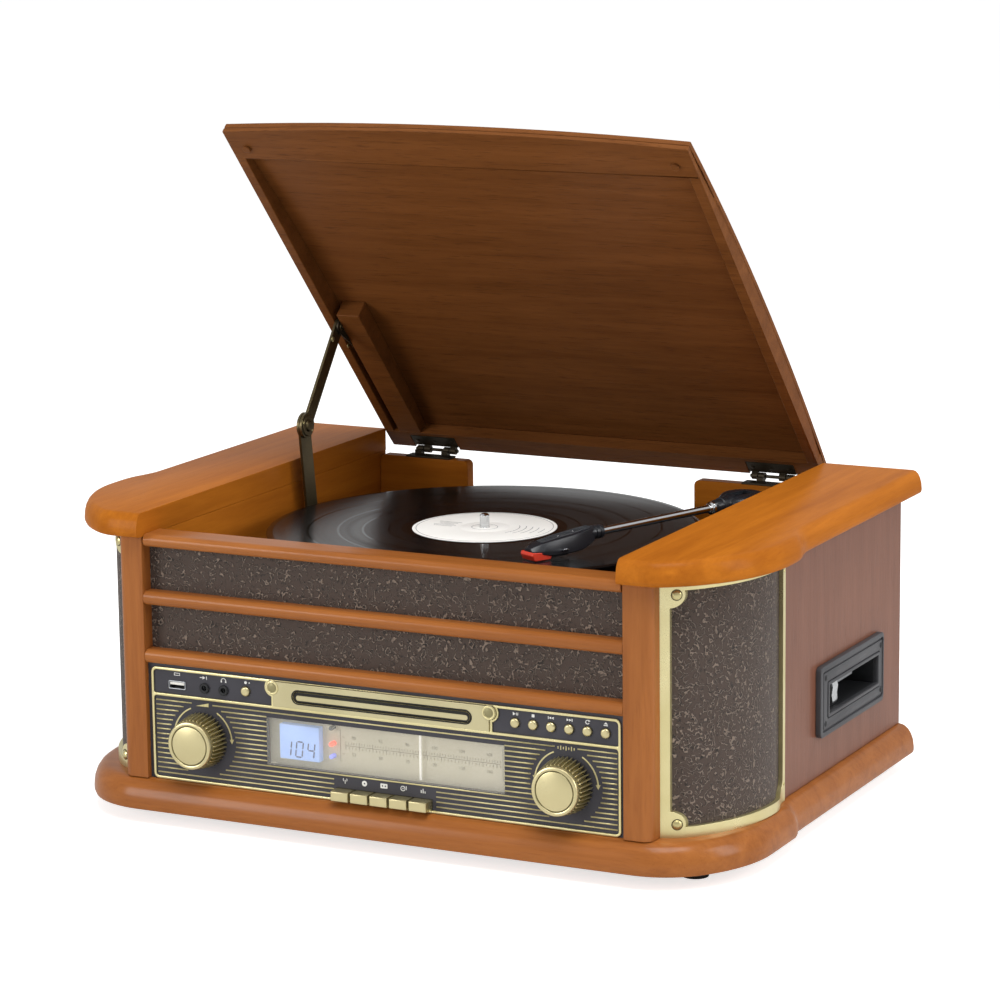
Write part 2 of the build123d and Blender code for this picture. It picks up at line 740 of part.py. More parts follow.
pointer = block(pointer_x - pointer_width / 2, pointer_x + pointer_width / 2, pointer_y - 0.6,
                pointer_y + 0.6, window_z + 0.8, dial_rail_z)
pointer += block(pointer_x - carrier_width / 2, pointer_x + carrier_width / 2, pointer_y - 0.6,
                 scale_y + 2.2, scale_top_z + 0.4, dial_rail_z + 2.4)
pointer -= rod(dial_rail_radius + running_gap, (pointer_x - carrier_width, scale_y, dial_rail_z),
               (pointer_x + carrier_width, scale_y, dial_rail_z))
pieces["dial_pointer"] = pointer


def knob(x):
    """A brass-coloured knob on its steel shaft: smooth cap, ribbed skirt that flares to the panel."""
    skirt_y = knob_front_y + knob_cap_depth
    back_y = panel_face_y - knob_back_gap
    middle_y = (skirt_y + back_y) / 2
    flare = Cone(knob_cap_radius, knob_skirt_radius, back_y - skirt_y)
    skirt = Pos(x, middle_y, knob_z) * Rot(-90, 0, 0) * flare
    groove = rod(0.9, (x, skirt_y - 1, knob_z), (x, back_y + 1, knob_z))
    reach = knob_skirt_radius + 0.3
    turns = [radians(360 * i / knob_ribs) for i in range(knob_ribs)]
    skirt -= [Pos(reach * cos(a), 0, reach * sin(a)) * groove for a in turns]
    cap = rod(knob_cap_radius - 0.4, (x, knob_front_y, knob_z), (x, skirt_y, knob_z))
    cap = fillet(cap.edges().group_by(Axis.Y)[0], 2.4)
    body = skirt + cap
    body -= rod(knob_dish_radius, (x, knob_front_y, knob_z), (x, knob_front_y + 0.5, knob_z))
    body -= rod(shaft_radius, (x, knob_front_y + 5, knob_z), (x, back_y, knob_z))
    shaft = rod(shaft_radius, (x, knob_front_y + 5, knob_z), (x, pot_y + pot_depth - 2, knob_z))
    return [body, shaft]


pieces["volume_knob"] = knob(-knob_x)
pieces["tuning_knob"] = knob(knob_x)


def control_pot(x):
    body = rod(pot_radius, (x, pot_y, knob_z), (x, pot_y + pot_depth, knob_z))
    bush = rod(shaft_radius + 2.2, (x, panel_back_y, knob_z), (x, pot_y, knob_z))
    return body + bush - rod(shaft_radius + running_gap, (x, panel_back_y, knob_z),
                             (x, pot_y + pot_depth - 1.6, knob_z))


def push_button(x):
    """A domed round button with a flange behind the panel that keeps it in."""
    cap = rod(button_radius, (x, panel_face_y - button_proud, button_z), (x, button_back_y, button_z))
    cap = fillet(cap.edges().group_by(Axis.Y)[0], 1.5)
    flange_y = panel_back_y + 0.2
    flange = rod(button_flange_radius, (x, flange_y, button_z), (x, flange_y + button_flange_depth, button_z))
    return cap + flange


button_names = ("record_button", "play_button", "stop_button", "skip_back_button", "skip_forward_button",
                "program_button", "tray_button")
for name, x in zip(button_names, button_xs):
    pieces[name] = push_button(x)

for i in range(key_count):
    x = key_first_x + key_pitch * i
    key = block(x - key_width / 2, x + key_width / 2, key_front_y, key_back_y, key_z, key_z + key_height)
    key = fillet(key.edges().group_by(Axis.Y)[0], 0.8)
    pieces[f"selector_key_{i + 1}"] = key

usb_nose_y = panel_face_y - 0.6
usb_floor_y = usb_nose_y + usb_depth - 1.5
usb_inner_width = usb_width - 2 * usb_wall
usb_inner_height = usb_height - 2 * usb_wall
usb_shell = block(usb_x - usb_width / 2, usb_x + usb_width / 2, usb_nose_y, usb_nose_y + usb_depth,
                  socket_z - usb_height / 2, socket_z + usb_height / 2)
usb_shell -= block(usb_x - usb_inner_width / 2, usb_x + usb_inner_width / 2, usb_nose_y, usb_floor_y,
                   socket_z - usb_inner_height / 2, socket_z + usb_inner_height / 2)
usb_tongue = block(usb_x - usb_tongue_width / 2, usb_x + usb_tongue_width / 2, panel_face_y + 0.8,
                   usb_floor_y, socket_z + 0.2, socket_z + 2.0)


def jack(x):
    """A 3.5 mm socket: threaded barrel through the panel, ring nut outside, square body behind."""
    nose_y = panel_face_y - 1.4
    barrel = rod(jack_barrel_radius, (x, nose_y, socket_z), (x, panel_back_y, socket_z))
    nut = rod(jack_nut_radius, (x, nose_y, socket_z), (x, panel_face_y, socket_z))
    body = block(x - 5, x + 5, panel_back_y, nose_y + jack_depth, socket_z - 5, socket_z + 5)
    bore = rod(jack_bore_radius, (x, nose_y, socket_z), (x, nose_y + jack_depth - 1, socket_z))
    return barrel + nut + body - bore


pieces["front_sockets"] = [usb_shell, usb_tongue, jack(aux_x), jack(headphone_x)]

# ---- disc player ----
tray_left_x = slot_left_x + tray_gap
tray_right_x = slot_right_x - tray_gap
tray_z = slot_z + tray_gap
tray_top_z = slot_z + slot_height - tray_gap
tray_place = Plane((slot_middle_x, -tray_proud, slot_middle_z), x_dir=(1, 0, 0), z_dir=(0, 1, 0))
tray_front = extrude(tray_place * SlotOverall(tray_right_x - tray_left_x, tray_top_z - tray_z),
                     panel_back_y - 1)
tray_inset = (tray_top_z - tray_z) / 2
tray_plate = block(tray_left_x + tray_inset, tray_right_x - tray_inset, panel_back_y - 2,
                   panel_back_y + tray_depth, tray_z, tray_z + tray_plate_height)
disc_y = panel_back_y + 4 + disc_radius
tray_plate -= rod(disc_radius, (slot_middle_x, disc_y, tray_z + tray_plate_height - disc_recess_depth),
                  (slot_middle_x, disc_y, tray_z + tray_plate_height))
tray_plate -= block(slot_middle_x - 20, slot_middle_x + 20, disc_y, disc_y + disc_radius - 4, tray_z,
                    tray_z + tray_plate_height)
pieces["cd_tray"] = tray_front + tray_plate

player_left_x = tray_left_x - player_margin
player_right_x = tray_right_x + player_margin
player_rear_y = panel_back_y + tray_depth + 12
player = block(player_left_x, player_right_x, player_front_y, player_rear_y, player_base_z,
               player_base_z + player_height)
tray_path = block(tray_left_x - fit_gap, tray_right_x + fit_gap, player_front_y, player_rear_y - player_wall,
                  tray_z - fit_gap, player_base_z + player_height - player_wall)
pit_half = 30.0
pit = block(slot_middle_x - pit_half, slot_middle_x + pit_half, disc_y - pit_half, disc_y + pit_half,
            player_base_z + player_wall, tray_z)
player = player - tray_path - pit
carriage = rod(carriage_radius, (slot_middle_x, disc_y, player_base_z + player_wall),
               (slot_middle_x, disc_y, tray_z - 1.0))
pieces["cd_mechanism"] = [player, carriage]

# ---- record deck ----
deck_half = well_half_width - fit_gap
deck_front_y = pillar_rear_y + fit_gap
deck_rear_y = rear_wall_y - fit_gap
deck = block(-deck_half, deck_half, deck_front_y, deck_rear_y, deck_under_z, deck_top_z)
deck -= block(-deck_half, -deck_half + stay_slot_width, stay_slot_front_y, stay_slot_rear_y,
              deck_under_z, deck_top_z)
deck += rod(bearing_radius, (record_x, record_y, deck_under_z - bearing_depth),
            (record_x, record_y, deck_under_z))
deck -= rod(spindle_radius + running_gap, (record_x, record_y, deck_under_z - bearing_depth + 3),
            (record_x, record_y, deck_top_z))
belt_reach = sub_ring_radius + pulley_radius + belt_run
pulley_x = record_x + belt_reach * cos(radians(pulley_angle))
pulley_y = record_y + belt_reach * sin(radians(pulley_angle))
deck -= rod(pulley_radius - 2, (pulley_x, pulley_y, deck_under_z), (pulley_x, pulley_y, deck_top_z))
deck -= rod(arm_post_radius + 1, (arm_x, arm_y, deck_under_z), (arm_x, arm_y, deck_top_z))
pieces["deck_plate"] = deck

record_under_z = record_top_z - record_thickness
platter_top_z = record_under_z - mat_thickness
platter_disc = rod(platter_radius, (record_x, record_y, platter_top_z - platter_wall),
                   (record_x, record_y, platter_top_z))
skirt = rod(platter_radius, (record_x, record_y, platter_top_z - platter_skirt),
            (record_x, record_y, platter_top_z - platter_wall))
skirt -= rod(platter_radius - platter_wall, (record_x, record_y, platter_top_z - platter_skirt),
             (record_x, record_y, platter_top_z - platter_wall))
sub_ring_z = platter_top_z - platter_wall - sub_ring_drop
ring = rod(sub_ring_radius, (record_x, record_y, sub_ring_z),
           (record_x, record_y, platter_top_z - platter_wall))
ring -= rod(sub_ring_radius - platter_wall, (record_x, record_y, sub_ring_z),
            (record_x, record_y, platter_top_z - platter_wall))
hub = rod(hub_radius, (record_x, record_y, platter_top_z - hub_drop), (record_x, record_y, platter_top_z))
platter = platter_disc + skirt + ring + hub
platter -= rod(spindle_radius, (record_x, record_y, platter_top_z - hub_drop),
               (record_x, record_y, platter_top_z))
mat = rod(platter_radius - 1.5, (record_x, record_y, platter_top_z), (record_x, record_y, record_under_z))
mat -= rod(spindle_radius + 0.2, (record_x, record_y, platter_top_z), (record_x, record_y, record_under_z))
pieces["platter"] = [platter, mat]

disc = rod(record_radius, (record_x, record_y, record_under_z), (record_x, record_y, record_top_z))
disc = fillet(disc.edges(), 0.5)
disc += rod(label_radius, (record_x, record_y, record_top_z),
            (record_x, record_y, record_top_z + label_proud))
disc -= rod(spindle_radius + 0.1, (record_x, record_y, record_under_z - 1),
            (record_x, record_y, record_top_z + 1))
pieces["record"] = disc
spindle_foot_z = deck_under_z - bearing_depth + 3
spindle_step_z = record_top_z + label_proud
spindle_tip = rod(spindle_tip_radius, (record_x, record_y, spindle_step_z),
                  (record_x, record_y, record_top_z + spindle_proud))
spindle_tip = chamfer(spindle_tip.edges().group_by(Axis.Z)[-1], 1.2)
pieces["spindle"] = spindle_tip + rod(spindle_radius, (record_x, record_y, spindle_foot_z),
                                      (record_x, record_y, spindle_step_z))

pulley_z = sub_ring_z
pulley = rod(pulley_radius, (pulley_x, pulley_y, pulley_z), (pulley_x, pulley_y, pulley_z + pulley_height))
pulley += rod(motor_shaft_radius, (pulley_x, pulley_y, deck_under_z - motor_height + 4),
              (pulley_x, pulley_y, pulley_z))
pieces["motor_pulley"] = pulley
motor = rod(motor_radius, (pulley_x, pulley_y, deck_under_z - motor_height),
            (pulley_x, pulley_y, deck_under_z))
motor -= rod(motor_shaft_radius + running_gap, (pulley_x, pulley_y, deck_under_z - motor_height + 3),
             (pulley_x, pulley_y, deck_under_z))
pieces["turntable_motor"] = motor


def belt_loop(wall):
    """The outline of the belt round the ring and the pulley, wall outside their faces."""
    ring_circle = Pos(record_x, record_y) * Circle(sub_ring_radius + wall)
    pulley_circle = Pos(pulley_x, pulley_y) * Circle(pulley_radius + wall)
    return make_hull(ring_circle.edges() + pulley_circle.edges())


belt_z = pulley_z + (pulley_height - belt_height) / 2
belt = extrude(Pos(0, 0, belt_z) * (belt_loop(fit_gap + belt_wall) - belt_loop(fit_gap)), belt_height)
pieces["drive_belt"] = belt

# ---- tonearm ----
arm_base = rod(arm_base_radius, (arm_x, arm_y, deck_top_z), (arm_x, arm_y, arm_base_top_z))
arm_base -= rod(arm_post_radius + running_gap, (arm_x, arm_y, deck_top_z), (arm_x, arm_y, arm_base_top_z))
aim = Vector(*arm_aim).normalized()
parked = aim.rotate(Axis.Z, park_deg)
rest_x = arm_x + parked.X * rest_reach
rest_y = arm_y + parked.Y * rest_reach
tube_z_at_rest = arm_z + (arm_head_z - arm_z) * rest_reach / arm_reach
arm_rest = rod(rest_radius, (rest_x, rest_y, deck_top_z),
               (rest_x, rest_y, tube_z_at_rest - arm_tube_radius - 2 * fit_gap))
pieces["tonearm_base"] = [arm_base, arm_rest]

hub_z = arm_base_top_z + fit_gap
arm_hub = rod(arm_hub_radius, (arm_x, arm_y, hub_z), (arm_x, arm_y, arm_hub_top_z))
arm_hub = fillet(arm_hub.edges().group_by(Axis.Z)[-1], arm_hub_dome)
yoke_half = 5.0
yoke_cut = block(-yoke_half, yoke_half, -arm_hub_radius, arm_hub_radius * 0.35, arm_z - 5.5, arm_hub_top_z)
aim_turn = degrees(atan2(aim.X, -aim.Y))
aim_place = Pos(arm_x, arm_y, 0) * Rot(0, 0, aim_turn)
arm_hub -= aim_place * yoke_cut
arm_hub += rod(arm_post_radius, (arm_x, arm_y, hub_z - arm_post_depth), (arm_x, arm_y, hub_z))
arm_hub -= aim_place * rod(1.0 + running_gap, (-11, 0, arm_z), (11, 0, arm_z))
pieces["tonearm_hub"] = arm_hub

tube_end = Vector(arm_x, arm_y) + aim * arm_reach
tube = rod(arm_tube_radius, (arm_x, arm_y, arm_z), (tube_end.X, tube_end.Y, arm_head_z))
gimbal = aim_place * block(-yoke_half + 0.4, yoke_half - 0.4, -4.5, 4.5, arm_z - 4.5, arm_z + 4.0)
axle = aim_place * rod(1.0, (-10.6, 0, arm_z), (10.6, 0, arm_z))
pieces["tonearm"] = tube + gimbal + axle

head_tip = Vector(arm_x, arm_y) + Vector(*head_tip_from_arm)
head_run = head_tip - tube_end
head_turn = degrees(atan2(head_run.X, -head_run.Y))
head_place = Pos(tube_end.X, tube_end.Y, 0) * Rot(0, 0, head_turn)
# In the headshell's own frame the tube ends at the origin and the tip lies along -Y.
head_length = head_run.length
guard_z = record_top_z + stylus_gap
shell_z = guard_z + cartridge_height + 1.0
shell_right = ((head_root_width / 2, -collar_length + 1), (head_width / 2, -collar_length - 14),
               (head_width / 2, -head_length + 6), (head_width / 2 - 4, -head_length))
shell_left = [(-x, y) for x, y in reversed(shell_right)]
shell_outline = make_face(Polyline(*shell_right, *shell_left, close=True))
shell = extrude(Pos(0, 0, shell_z) * shell_outline, head_height)
shell = chamfer(shell.faces().sort_by(Axis.Z)[-1].edges(), 1.6)
collar = rod(collar_radius, (0, -collar_length, arm_head_z), (0, 0.5, arm_head_z))
neck = block(-head_root_width / 2, head_root_width / 2, -collar_length - 2, -collar_length + 1, shell_z,
             arm_head_z + 2)
cartridge = block(-6.0, 6.0, -head_length + 2.5, -head_length + 28, guard_z + 2.4, shell_z)
shell_body = shell + neck + collar + cartridge
finger_lift = rod(0.9, (head_width / 2 - 1, -head_length + 22, shell_z + 2),
                  (head_width / 2 + 8, -head_length + 19, shell_z + 4))
guard_outline = make_face(Polyline((-head_length + 0.5, guard_z), (-head_length - 1.5, guard_z + 2.6),
                                   (-head_length - 1.5, shell_z - 0.1), (-head_length + 2.4, shell_z - 0.1),
                                   (-head_length + 2.4, guard_z + 2.3),
                                   (-head_length + guard_length, guard_z + 2.3),
                                   (-head_length + guard_length - 3, guard_z), close=True))
guard = plate_along_x(-4.5, 4.5, guard_outline)
pieces["headshell"] = [head_place * (shell_body + finger_lift) - tube, head_place * guard]

# ---- lid, drawn closed and then turned about its hinge ----
def crown(depth):
    """The curve of the lid's top, front to rear, lowered by depth."""
    return ThreePointArc((lid_front_y - lid_front_bow - 2, lid_under_z + lid_front_thick - depth),
                         ((lid_front_y + lid_rear_y) / 2, lid_under_z + lid_mid_thick - depth),
                         (lid_rear_y + 2, lid_under_z + lid_rear_thick - depth))


def crowned_slab(depth, x0, x1):
    """Everything below the lowered crown down to the lid's underside, from x0 to x1."""
    top = crown(depth)
    rear = Line(top @ 1, (lid_rear_y + 2, lid_under_z))
    floor = Line(rear @ 1, ((top @ 0).X, lid_under_z))
    front = Line(floor @ 1, top @ 0)
    return plate_along_x(x0, x1, make_face([top, rear, floor, front]))


def lid_plan(z0, z1):
    bow = ThreePointArc((-lid_half_width, lid_front_y), (0, lid_front_y - lid_front_bow),
                        (lid_half_width, lid_front_y))
    right = Line(bow @ 1, (lid_half_width, lid_rear_y))
    rear = Line(right @ 1, (-lid_half_width, lid_rear_y))
    left = Line(rear @ 1, bow @ 0)
    return extrude(Pos(0, 0, z0) * make_face([bow, right, rear, left]), z1 - z0)


lid_blank = lid_plan(lid_under_z - 1, lid_under_z + lid_mid_thick + 5)
whole_lid = crowned_slab(0, -lid_half_width, lid_half_width) & lid_blank
core = crowned_slab(lid_skin, -lid_half_width, lid_half_width)
lid_skin_panel = whole_lid - core
frame_core = crowned_slab(lid_skin + curved_seat, -lid_half_width, lid_half_width) & lid_blank
tall = (lid_under_z - 1, lid_under_z + lid_mid_thick)
front_rail_y = lid_front_y + lid_front_rail
rear_rail_y = lid_rear_y - lid_rear_rail
rail_inner_x = lid_half_width - lid_side_rail
rail_front = frame_core & block(-lid_half_width, lid_half_width, -50, front_rail_y, *tall)
rail_rear = frame_core & block(-lid_half_width, lid_half_width, rear_rail_y, lid_rear_y, *tall)
rail_right = frame_core & block(rail_inner_x, lid_half_width, front_rail_y, rear_rail_y, *tall)
rail_left = frame_core & block(-lid_half_width, -rail_inner_x, front_rail_y, rear_rail_y, *tall)
batten = frame_core & block(batten_x, batten_x + batten_width, rear_rail_y - batten_length,
                            rear_rail_y, *tall)
pad_y = top_rail_depth / 2 + 1
pad = rod(lid_pad_radius, (rail_inner_x - 6, pad_y, lid_under_z - lid_clearance + 0.1),
          (rail_inner_x - 6, pad_y, lid_under_z))

leaf_gap = 0.6


def hinge_leaf(blocks, z0, z1, y0, knuckle_side):
    """A leaf with one half-knuckle of each block curled round the hinge line."""
    x0 = blocks[0][0] - 2
    x1 = blocks[-1][1] + 2
    leaf = block(x0, x1, y0, y0 + hinge_leaf_depth, z0, z1)
    for start, end in blocks:
        middle = (start + end) / 2
        first, last = (start, middle - leaf_gap / 2) if knuckle_side else (middle + leaf_gap / 2, end)
        barrel = rod(hinge_barrel_radius, (first, hinge_y, hinge_z), (last, hinge_y, hinge_z))
        web = block(first, last, y0 + hinge_leaf_depth - 0.5, hinge_y,
                    min(z0, hinge_z), max(z1, hinge_z))
        leaf += barrel + web
    return leaf - rod(hinge_pin_radius + running_gap, (x0 - 1, hinge_y, hinge_z), (x1 + 1, hinge_y, hinge_z))


seat_x0 = hinge_blocks[0][0] - 2.3
seat_x1 = hinge_blocks[-1][1] + 2.3
hinge_pocket = block(seat_x0, seat_x1, hinge_y - hinge_barrel_radius - fit_gap, lid_rear_y + 1,
                     lid_under_z - 2, lid_under_z + hinge_barrel_radius + fit_gap)
lid_leaf_y = hinge_y - hinge_barrel_radius - hinge_leaf_depth
leaf_seat = block(seat_x0, seat_x1, lid_leaf_y - fit_gap, hinge_y,
                  lid_under_z - 1, lid_under_z + hinge_leaf_wall)
for cut in both_sides(hinge_pocket) + both_sides(leaf_seat):
    rail_rear -= cut
    lid_skin_panel -= cut
lid_leaf = hinge_leaf(hinge_blocks, lid_under_z, lid_under_z + hinge_leaf_wall, lid_leaf_y, True)
fixed_leaf = hinge_leaf(hinge_blocks, post_top_z, post_top_z + hinge_leaf_wall,
                        cabinet_rear_y - hinge_leaf_depth + 0.5, False)
hinge_pin = rod(hinge_pin_radius, (hinge_blocks[0][0] - 1.5, hinge_y, hinge_z),
                (hinge_blocks[-1][1] + 1.5, hinge_y, hinge_z))

# The stay's layers, from the cabinet wall inwards: bracket, lower arm, upper arm, lid ear.
lower_x0 = stay_x
lower_x1 = stay_x + stay_wall
upper_x0 = lower_x1 + stay_gap
upper_x1 = upper_x0 + stay_wall
ear_x0 = upper_x1 + stay_gap
ear_x1 = batten_x
lid_pivot_y = hinge_y - stay_lid_reach
lid_pivot_z = hinge_z + stay_lid_rise
ear_outline = make_hull((Pos(lid_pivot_y, lid_pivot_z) * Circle(stay_upper_width / 2)).edges()
                        + (Pos(lid_pivot_y + 20, lid_under_z + 7) * Rectangle(20, 9)).edges())
ear = plate_along_x(ear_x0, ear_x1, ear_outline)
ear_pin = rod(stay_pin_radius, (upper_x0, lid_pivot_y, lid_pivot_z), (ear_x0, lid_pivot_y, lid_pivot_z))
lid_ear = ear + ear_pin
open_lid = Axis((0, hinge_y, hinge_z), (-1, 0, 0))


def opened(shape):
    return shape.rotate(open_lid, lid_open_deg)


pieces["lid_panel"] = opened(lid_skin_panel)
lid_frame = [rail_front, rail_rear, rail_right, rail_left, batten, *both_sides(pad)]
pieces["lid_frame"] = [opened(piece) for piece in lid_frame]
pieces["lid_hinge_set"] = [opened(piece) for piece in both_sides(lid_leaf) + [lid_ear]]

foot_plate_x = -well_half_width + foot_plate_wall
foot_boss = rod(stay_boss_radius, (foot_plate_x, stay_foot_y, stay_foot_z),
                (lower_x0 - stay_gap, stay_foot_y, stay_foot_z))
foot_plate = block(-well_half_width, foot_plate_x, stay_foot_y - foot_plate_half,
                   stay_foot_y + foot_plate_half, stay_foot_z - foot_plate_half, stay_foot_z + 16)
foot_pin = rod(stay_pin_radius, (foot_plate_x, stay_foot_y, stay_foot_z),
               (lower_x1, stay_foot_y, stay_foot_z))
wall_bracket = foot_boss + foot_plate + foot_pin
pieces["cabinet_hinge_set"] = both_sides(fixed_leaf) + both_sides(hinge_pin) + [wall_bracket]

turned_pivot = Vector(lid_pivot_y - hinge_y, lid_pivot_z - hinge_z)
swing = radians(lid_open_deg)
open_pivot_y = hinge_y + turned_pivot.X * cos(swing) + turned_pivot.Y * sin(swing)
open_pivot_z = hinge_z - turned_pivot.X * sin(swing) + turned_pivot.Y * cos(swing)


def strap(x0, x1, a, a_radius, b, b_radius, width):
    """A flat strap between two pivots (Y, Z), with a round end at each."""
    ends = Pos(*a) * Circle(a_radius) + Pos(*b) * Circle(b_radius)
    run = Vector(*b) - Vector(*a)
    middle = (Vector(*a) + Vector(*b)) * 0.5
    web = Pos(middle.X, middle.Y) * Rot(0, 0, degrees(atan2(run.Y, run.X))) * Rectangle(run.length, width)
    return plate_along_x(x0, x1, ends + web)


elbow = (stay_elbow_y, stay_elbow_z)
foot = (stay_foot_y, stay_foot_z)
lid_end = (open_pivot_y, open_pivot_z)
lower_arm = strap(lower_x0, lower_x1, foot, stay_lower_width / 2, elbow, stay_disc_radius,
                  stay_lower_width)
lower_arm -= rod(stay_pin_radius + running_gap, (lower_x0, *foot), (lower_x1, *foot))
lower_dome = rod(stay_dome_radius, (lower_x0 - stay_dome_height, *elbow), (lower_x0, *elbow))
lower_arm += fillet(lower_dome.edges().group_by(Axis.X)[0], stay_dome_height * 0.8)
pieces["stay_lower_arm"] = lower_arm
upper_arm = strap(upper_x0, upper_x1, elbow, stay_disc_radius, lid_end, stay_upper_width / 2,
                  stay_upper_width)
upper_arm -= rod(stay_pin_radius + running_gap, (upper_x0, *lid_end), (upper_x1, *lid_end))
upper_dome = rod(stay_dome_radius, (upper_x1, *elbow), (upper_x1 + stay_dome_height, *elbow))
upper_arm += fillet(upper_dome.edges().group_by(Axis.X)[-1], stay_dome_height * 0.8)
pieces["stay_upper_arm"] = upper_arm

# ---- cassette slot ----
bezel = block(side_panel_x, side_panel_x + cassette_plate, cassette_front_y, cassette_rear_y,
              cassette_z, cassette_z + cassette_height)
bezel = fillet(bezel.edges().filter_by(Axis.X), 4.0)
bezel = chamfer(bezel.faces().sort_by(Axis.X)[-1].edges(), 1.2)
mouth = block(side_panel_x - 100, side_panel_x + cassette_plate + 1, cassette_mouth_front_y,
              cassette_mouth_rear_y, cassette_mouth_z, cassette_mouth_z + cassette_mouth_height)
bezel -= mouth
recess_margin = 5.0
bezel -= block(side_panel_x + cassette_plate - cassette_recess, side_panel_x + cassette_plate,
               cassette_mouth_front_y - recess_margin, cassette_mouth_rear_y + recess_margin,
               cassette_mouth_z - recess_margin + 1, cassette_mouth_z + cassette_mouth_height + recess_margin)
pieces["cassette_bezel"] = bezel

well_x = side_panel_x - cassette_well_depth
well = block(well_x, side_panel_x, well_y, well_rear_y, well_z, well_top_z)
well -= block(well_x + cassette_well_wall, side_panel_x, cassette_mouth_front_y, cassette_mouth_rear_y,
              cassette_mouth_z, cassette_mouth_z + cassette_mouth_height)
lever_x = side_panel_x - lever_set_back
lever = block(lever_x - lever_foot, lever_x, lever_y, lever_y + lever_width,
              cassette_mouth_z, cassette_mouth_z + spring_wall)
lever += block(lever_x - spring_wall, lever_x, lever_y, lever_y + lever_width,
               cassette_mouth_z, cassette_mouth_z + lever_height)
mouth_top_z = cassette_mouth_z + cassette_mouth_height
bracket_x = lever_x - bracket_depth
bracket = block(bracket_x, lever_x - 2 * spring_wall, bracket_front_y, bracket_rear_y,
                mouth_top_z - bracket_drop, mouth_top_z)
bracket -= block(bracket_x + spring_wall, lever_x, bracket_front_y, bracket_rear_y,
                 mouth_top_z - bracket_drop + spring_wall, mouth_top_z - spring_wall)
head_depth, head_width_y, head_block_height = head_block_size
head_block_x = well_x + cassette_well_wall
head_block_y = (bracket_front_y + cassette_mouth_rear_y - head_width_y) / 2
head_block = block(head_block_x, head_block_x + head_depth, head_block_y, head_block_y + head_width_y,
                   cassette_mouth_z, cassette_mouth_z + head_block_height)
pieces["cassette_deck"] = [well, lever, bracket, head_block]

# ---- electronics and rear sockets ----
board_left_x = -(well_half_width - board_left_inset)
board_right_x = well_half_width - board_right_inset
board_face_z = board_z + board_wall
board_rear_y = board_front_y + board_depth
main_board = block(board_left_x, board_right_x, board_front_y, board_rear_y, board_z, board_face_z)
standoffs = [rod(standoff_radius, (x, y, base_top_z), (x, y, board_z))
             for x in (board_left_x + standoff_inset, board_right_x - standoff_inset)
             for y in (board_front_y + standoff_inset, board_rear_y - standoff_inset)]
heat_sink = block(board_right_x - 60, board_right_x - 10, board_rear_y - 26, board_rear_y - 10,
                  board_face_z, board_face_z + heat_sink_height)
capacitor_y = board_front_y + 30
capacitors = [rod(capacitor_radius, (x, capacitor_y, board_face_z), (x, capacitor_y, board_face_z + 26))
              for x in (board_left_x + 40, board_left_x + 66)]
switch_y = button_back_y + button_travel + switch_gap
board_low_z = button_z - 9
board_top_z = button_z + 9
left_board = block(usb_x - 10, record_button_x + 9, front_board_gap, front_board_gap + board_wall,
                   board_low_z, board_top_z)
right_board = block(first_button_x - 7, panel_half - 6, front_board_gap, front_board_gap + board_wall,
                    board_low_z, board_top_z)
switches = [block(x - switch_half, x + switch_half, switch_y, front_board_gap,
                  button_z - switch_half, button_z + switch_half) for x in button_xs]
panel_posts = [rod(2.0, (x, panel_back_y, z), (x, front_board_gap, z))
               for x, z in ((usb_x + 10, board_low_z + 2.5), (record_button_x + 4, board_top_z - 2.5),
                            (first_button_x - 3, board_top_z - 2.5), (panel_half - 9, board_low_z + 2.5))]
key_bank = block(keys_left_x - 3, keys_right_x + 3, key_bank_y, key_bank_y + key_bank_depth,
                 base_top_z, key_z + key_height + 3)
for i in range(key_count):
    x = key_first_x + key_pitch * i
    key_bank -= block(x - key_width / 2 - fit_gap, x + key_width / 2 + fit_gap, key_bank_y,
                      key_back_y + key_travel + fit_gap, key_z - fit_gap, key_z + key_height + fit_gap)
pieces["circuit_boards"] = [main_board, key_bank, heat_sink, *standoffs, *capacitors, left_board,
                            right_board, *switches, *panel_posts, control_pot(-knob_x),
                            control_pot(knob_x)]

size_x, size_y, size_z = transformer_size
transformer = block(transformer_x - size_x / 2, transformer_x + size_x / 2, transformer_y - size_y / 2,
                    transformer_y + size_y / 2, base_top_z, base_top_z + size_z)
winding_half_x = size_x / 2 - 10
winding_half_y = size_y / 2 + 8
winding = block(transformer_x - winding_half_x, transformer_x + winding_half_x,
                transformer_y - winding_half_y, transformer_y + winding_half_y,
                base_top_z + 8, base_top_z + size_z - 8)
pieces["mains_transformer"] = transformer + winding

flange_half_width = inlet_half_width + 4
flange_half_height = inlet_half_height + 3
flange_y = cabinet_rear_y + inlet_flange_wall
inlet = block(inlet_x - inlet_half_width, inlet_x + inlet_half_width, back_y - 14, cabinet_rear_y,
              inlet_z - inlet_half_height, inlet_z + inlet_half_height)
inlet += block(inlet_x - flange_half_width, inlet_x + flange_half_width, cabinet_rear_y, flange_y,
               inlet_z - flange_half_height, inlet_z + flange_half_height)
inlet -= block(inlet_x - 8.5, inlet_x + 8.5, cabinet_rear_y - 12, flange_y, inlet_z - 4.5, inlet_z + 4.5)


def line_out(x):
    start_y = back_y - line_out_set_back
    end_y = cabinet_rear_y + line_out_proud
    shell = rod(line_out_radius, (x, start_y, line_out_z), (x, end_y, line_out_z))
    shell += rod(line_out_radius + 1.0, (x, start_y, line_out_z), (x, cabinet_rear_y + 0.8, line_out_z))
    return shell - rod(line_out_bore_radius, (x, cabinet_rear_y - 2, line_out_z), (x, end_y, line_out_z))


pieces["rear_sockets"] = [inlet, line_out(line_out_x - line_out_half_pitch),
                          line_out(line_out_x + line_out_half_pitch)]

